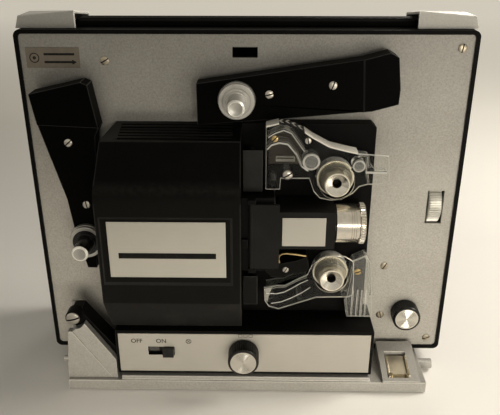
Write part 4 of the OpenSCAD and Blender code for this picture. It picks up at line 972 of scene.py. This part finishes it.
# Drive behind the plate: steel shafts in posts, an aluminium inching wheel that shows in its slot,
# a grey steel shutter, the motor with its moulded fan, and the rubber belt between the two pulleys.
wheel_alu = turned("wheel_alu", (0.66, 0.65, 0.60, 1), 0.36, "X", 0.6, metal=0.7)
wheel_low, wheel_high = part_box("inching_wheel")
wheel_r = (wheel_high.z - wheel_low.z) / 2
wheel_bore = 4 * MM
wheel_edge = [(0, 1.6), (0.6, 0.4), (1.2, 0)]
wheel_line = [(wheel_low.x, wheel_bore)] + stepped(wheel_edge, wheel_low.x, 1, wheel_r)
wheel_line += stepped(wheel_edge[::-1], wheel_high.x, -1, wheel_r) + [(wheel_high.x, wheel_bore)]
wheel = bmesh.new()
lathe(wheel, wheel_line, (wheel_low + wheel_high) / 2, "X", ribs=54, rib_depth=0.8 * MM,
      rib_rows=(2, 3, 4, 5))
instead("inching_wheel", "inching_wheel_ribbed", wheel, [wheel_alu], 24)
for node in ("main_shaft", "motor_shaft", "shaft_posts"):
    wear(node, bright_steel)
drive_grey = brushed("shield_grey", (0.045, 0.045, 0.042, 1), rough=0.46, metal=0.3, along=(60, 60, 1))
for node in ("shutter", "motor_can"):
    wear(node, drive_grey)
wear("cooling_fan", moulded_black)
wear("drive_belt", foot_rubber)


# Studio: a round table in pale paper, which glows softly in the distance and more to the right, and a
# pale sky. A soft key lamp stands high at the right, a small glint lamp in front, a weak lamp behind,
# and two low ones at the front light the right side and, as light thrown back by the table, the foot.
def sight(finish):
    """1 for what the camera sees, also in metal or through glass, and 0 for the light on the object."""
    seen = finish.add("ShaderNodeLightPath", {}, {}, "Is Camera Ray")
    for ray in ("Is Glossy Ray", "Is Transmission Ray"):
        seen = finish.larger(seen, finish.add("ShaderNodeLightPath", {}, {}, ray))
    return seen


paper = Finish("studio_paper", Specular_IOR_Level=0.15, Emission_Strength=1.0)
mottle = paper.grain(350, 3.0)
paper.feed(Base_Color=paper.mix(mottle, (0.78, 0.765, 0.735, 1), (0.82, 0.805, 0.775, 1)))
paper.feed(Roughness=0.75 + 0.1 * mottle)
table_y = paper.along("Y")
to_right = paper.between(paper.along("X") / (abs(table_y) + 0.5), -0.42, 0.42)
glow = paper.mix(to_right, (0.13, 0.116, 0.088, 1), (0.42, 0.38, 0.31, 1))
distant = 0.75 * paper.between(table_y, 0.7, 2.2)
glow = paper.mix(distant, glow, (0.56, 0.52, 0.435, 1))
around = paper.between(paper.away(), 0.6, 1.4)
behind = paper.between(table_y, 0.22, 0.8)
glow_share = paper.larger(sight(paper) * around, behind)
paper.feed(Emission_Color=paper.mix(glow_share, (0.06, 0.054, 0.043, 1), glow))
table_r, table_sides = 5.0, 64
turns = [2 * math.pi * i / table_sides for i in range(table_sides)]
mesh = bpy.data.meshes.new("studio_table")
mesh.from_pydata(
    [(table_r * math.cos(turn), table_r * math.sin(turn), 0) for turn in turns], [], [range(table_sides)])
mesh.materials.append(paper.material)
shown("studio_table", mesh)


def area_lamp(name, spot, aim, size, power, colour, spread=180, depth=None):
    """A soft lamp from spot towards aim, a disc or, with a depth, a bar that no metal or glass shows."""
    light = bpy.data.lights.new(name, "AREA")
    light.shape = "DISK"
    light.size = size
    light.energy = power
    light.color = colour
    light.spread = math.radians(spread)
    lamp = shown(name, light)
    lamp.location = spot
    lamp.rotation_euler = (Vector(aim) - Vector(spot)).to_track_quat("-Z", "Y").to_euler()
    lamp.visible_camera = False
    if depth:
        light.shape = "RECTANGLE"
        light.size_y = depth
        lamp.visible_glossy = False
        lamp.visible_transmission = False


area_lamp("key_lamp", (0.80, 0.16, 0.68), (0.12, -0.10, 0.0), 0.5, 9.2, (1.0, 0.93, 0.82))
area_lamp("back_lamp", (0.42, 1.05, 0.46), (0.06, 0.08, 0.20), 0.5, 0.40, (1.0, 0.94, 0.85), 60)
area_lamp("glint_lamp", (0.25, -1.0, 0.26), (0.0, 0.0, 0.10), 0.12, 0.8, (1.0, 0.95, 0.86))
area_lamp("side_lamp", (0.30, -0.38, 0.17), (0.13, 0.0, 0.16), 0.25, 0.11, (1.0, 0.92, 0.79), 80)
area_lamp("bounce_lamp", (0.12, -0.33, 0.045), (0.087, 0.0, 0.045), 0.8, 0.47, (1.0, 0.91, 0.76), 75, 0.08)
sky = Finish("studio_world", bpy.data.worlds, "Background")
sky.feed(Color=sky.mix(sight(sky), (0.116, 0.112, 0.103, 1), (0.56, 0.52, 0.44, 1)))
bpy.context.scene.world = sky.material

# Camera: at the photograph's place and height in front of the machine, looking a little down.
# Its lens and tilt were fitted to the edges that the photograph shows.
camera = bpy.data.cameras.new("camera")
camera.sensor_width = 36.0
camera.lens = 46.8
camera_down, camera_turn = 23.75, 0.86
camera_object = shown("camera", camera)
camera_object.location = at(9.9, -468.7, 349.4)
camera_object.rotation_euler = (math.radians(90 - camera_down), 0.0, math.radians(camera_turn))
bpy.context.scene.camera = camera_object
bpy.context.scene.view_settings.view_transform = "Standard"
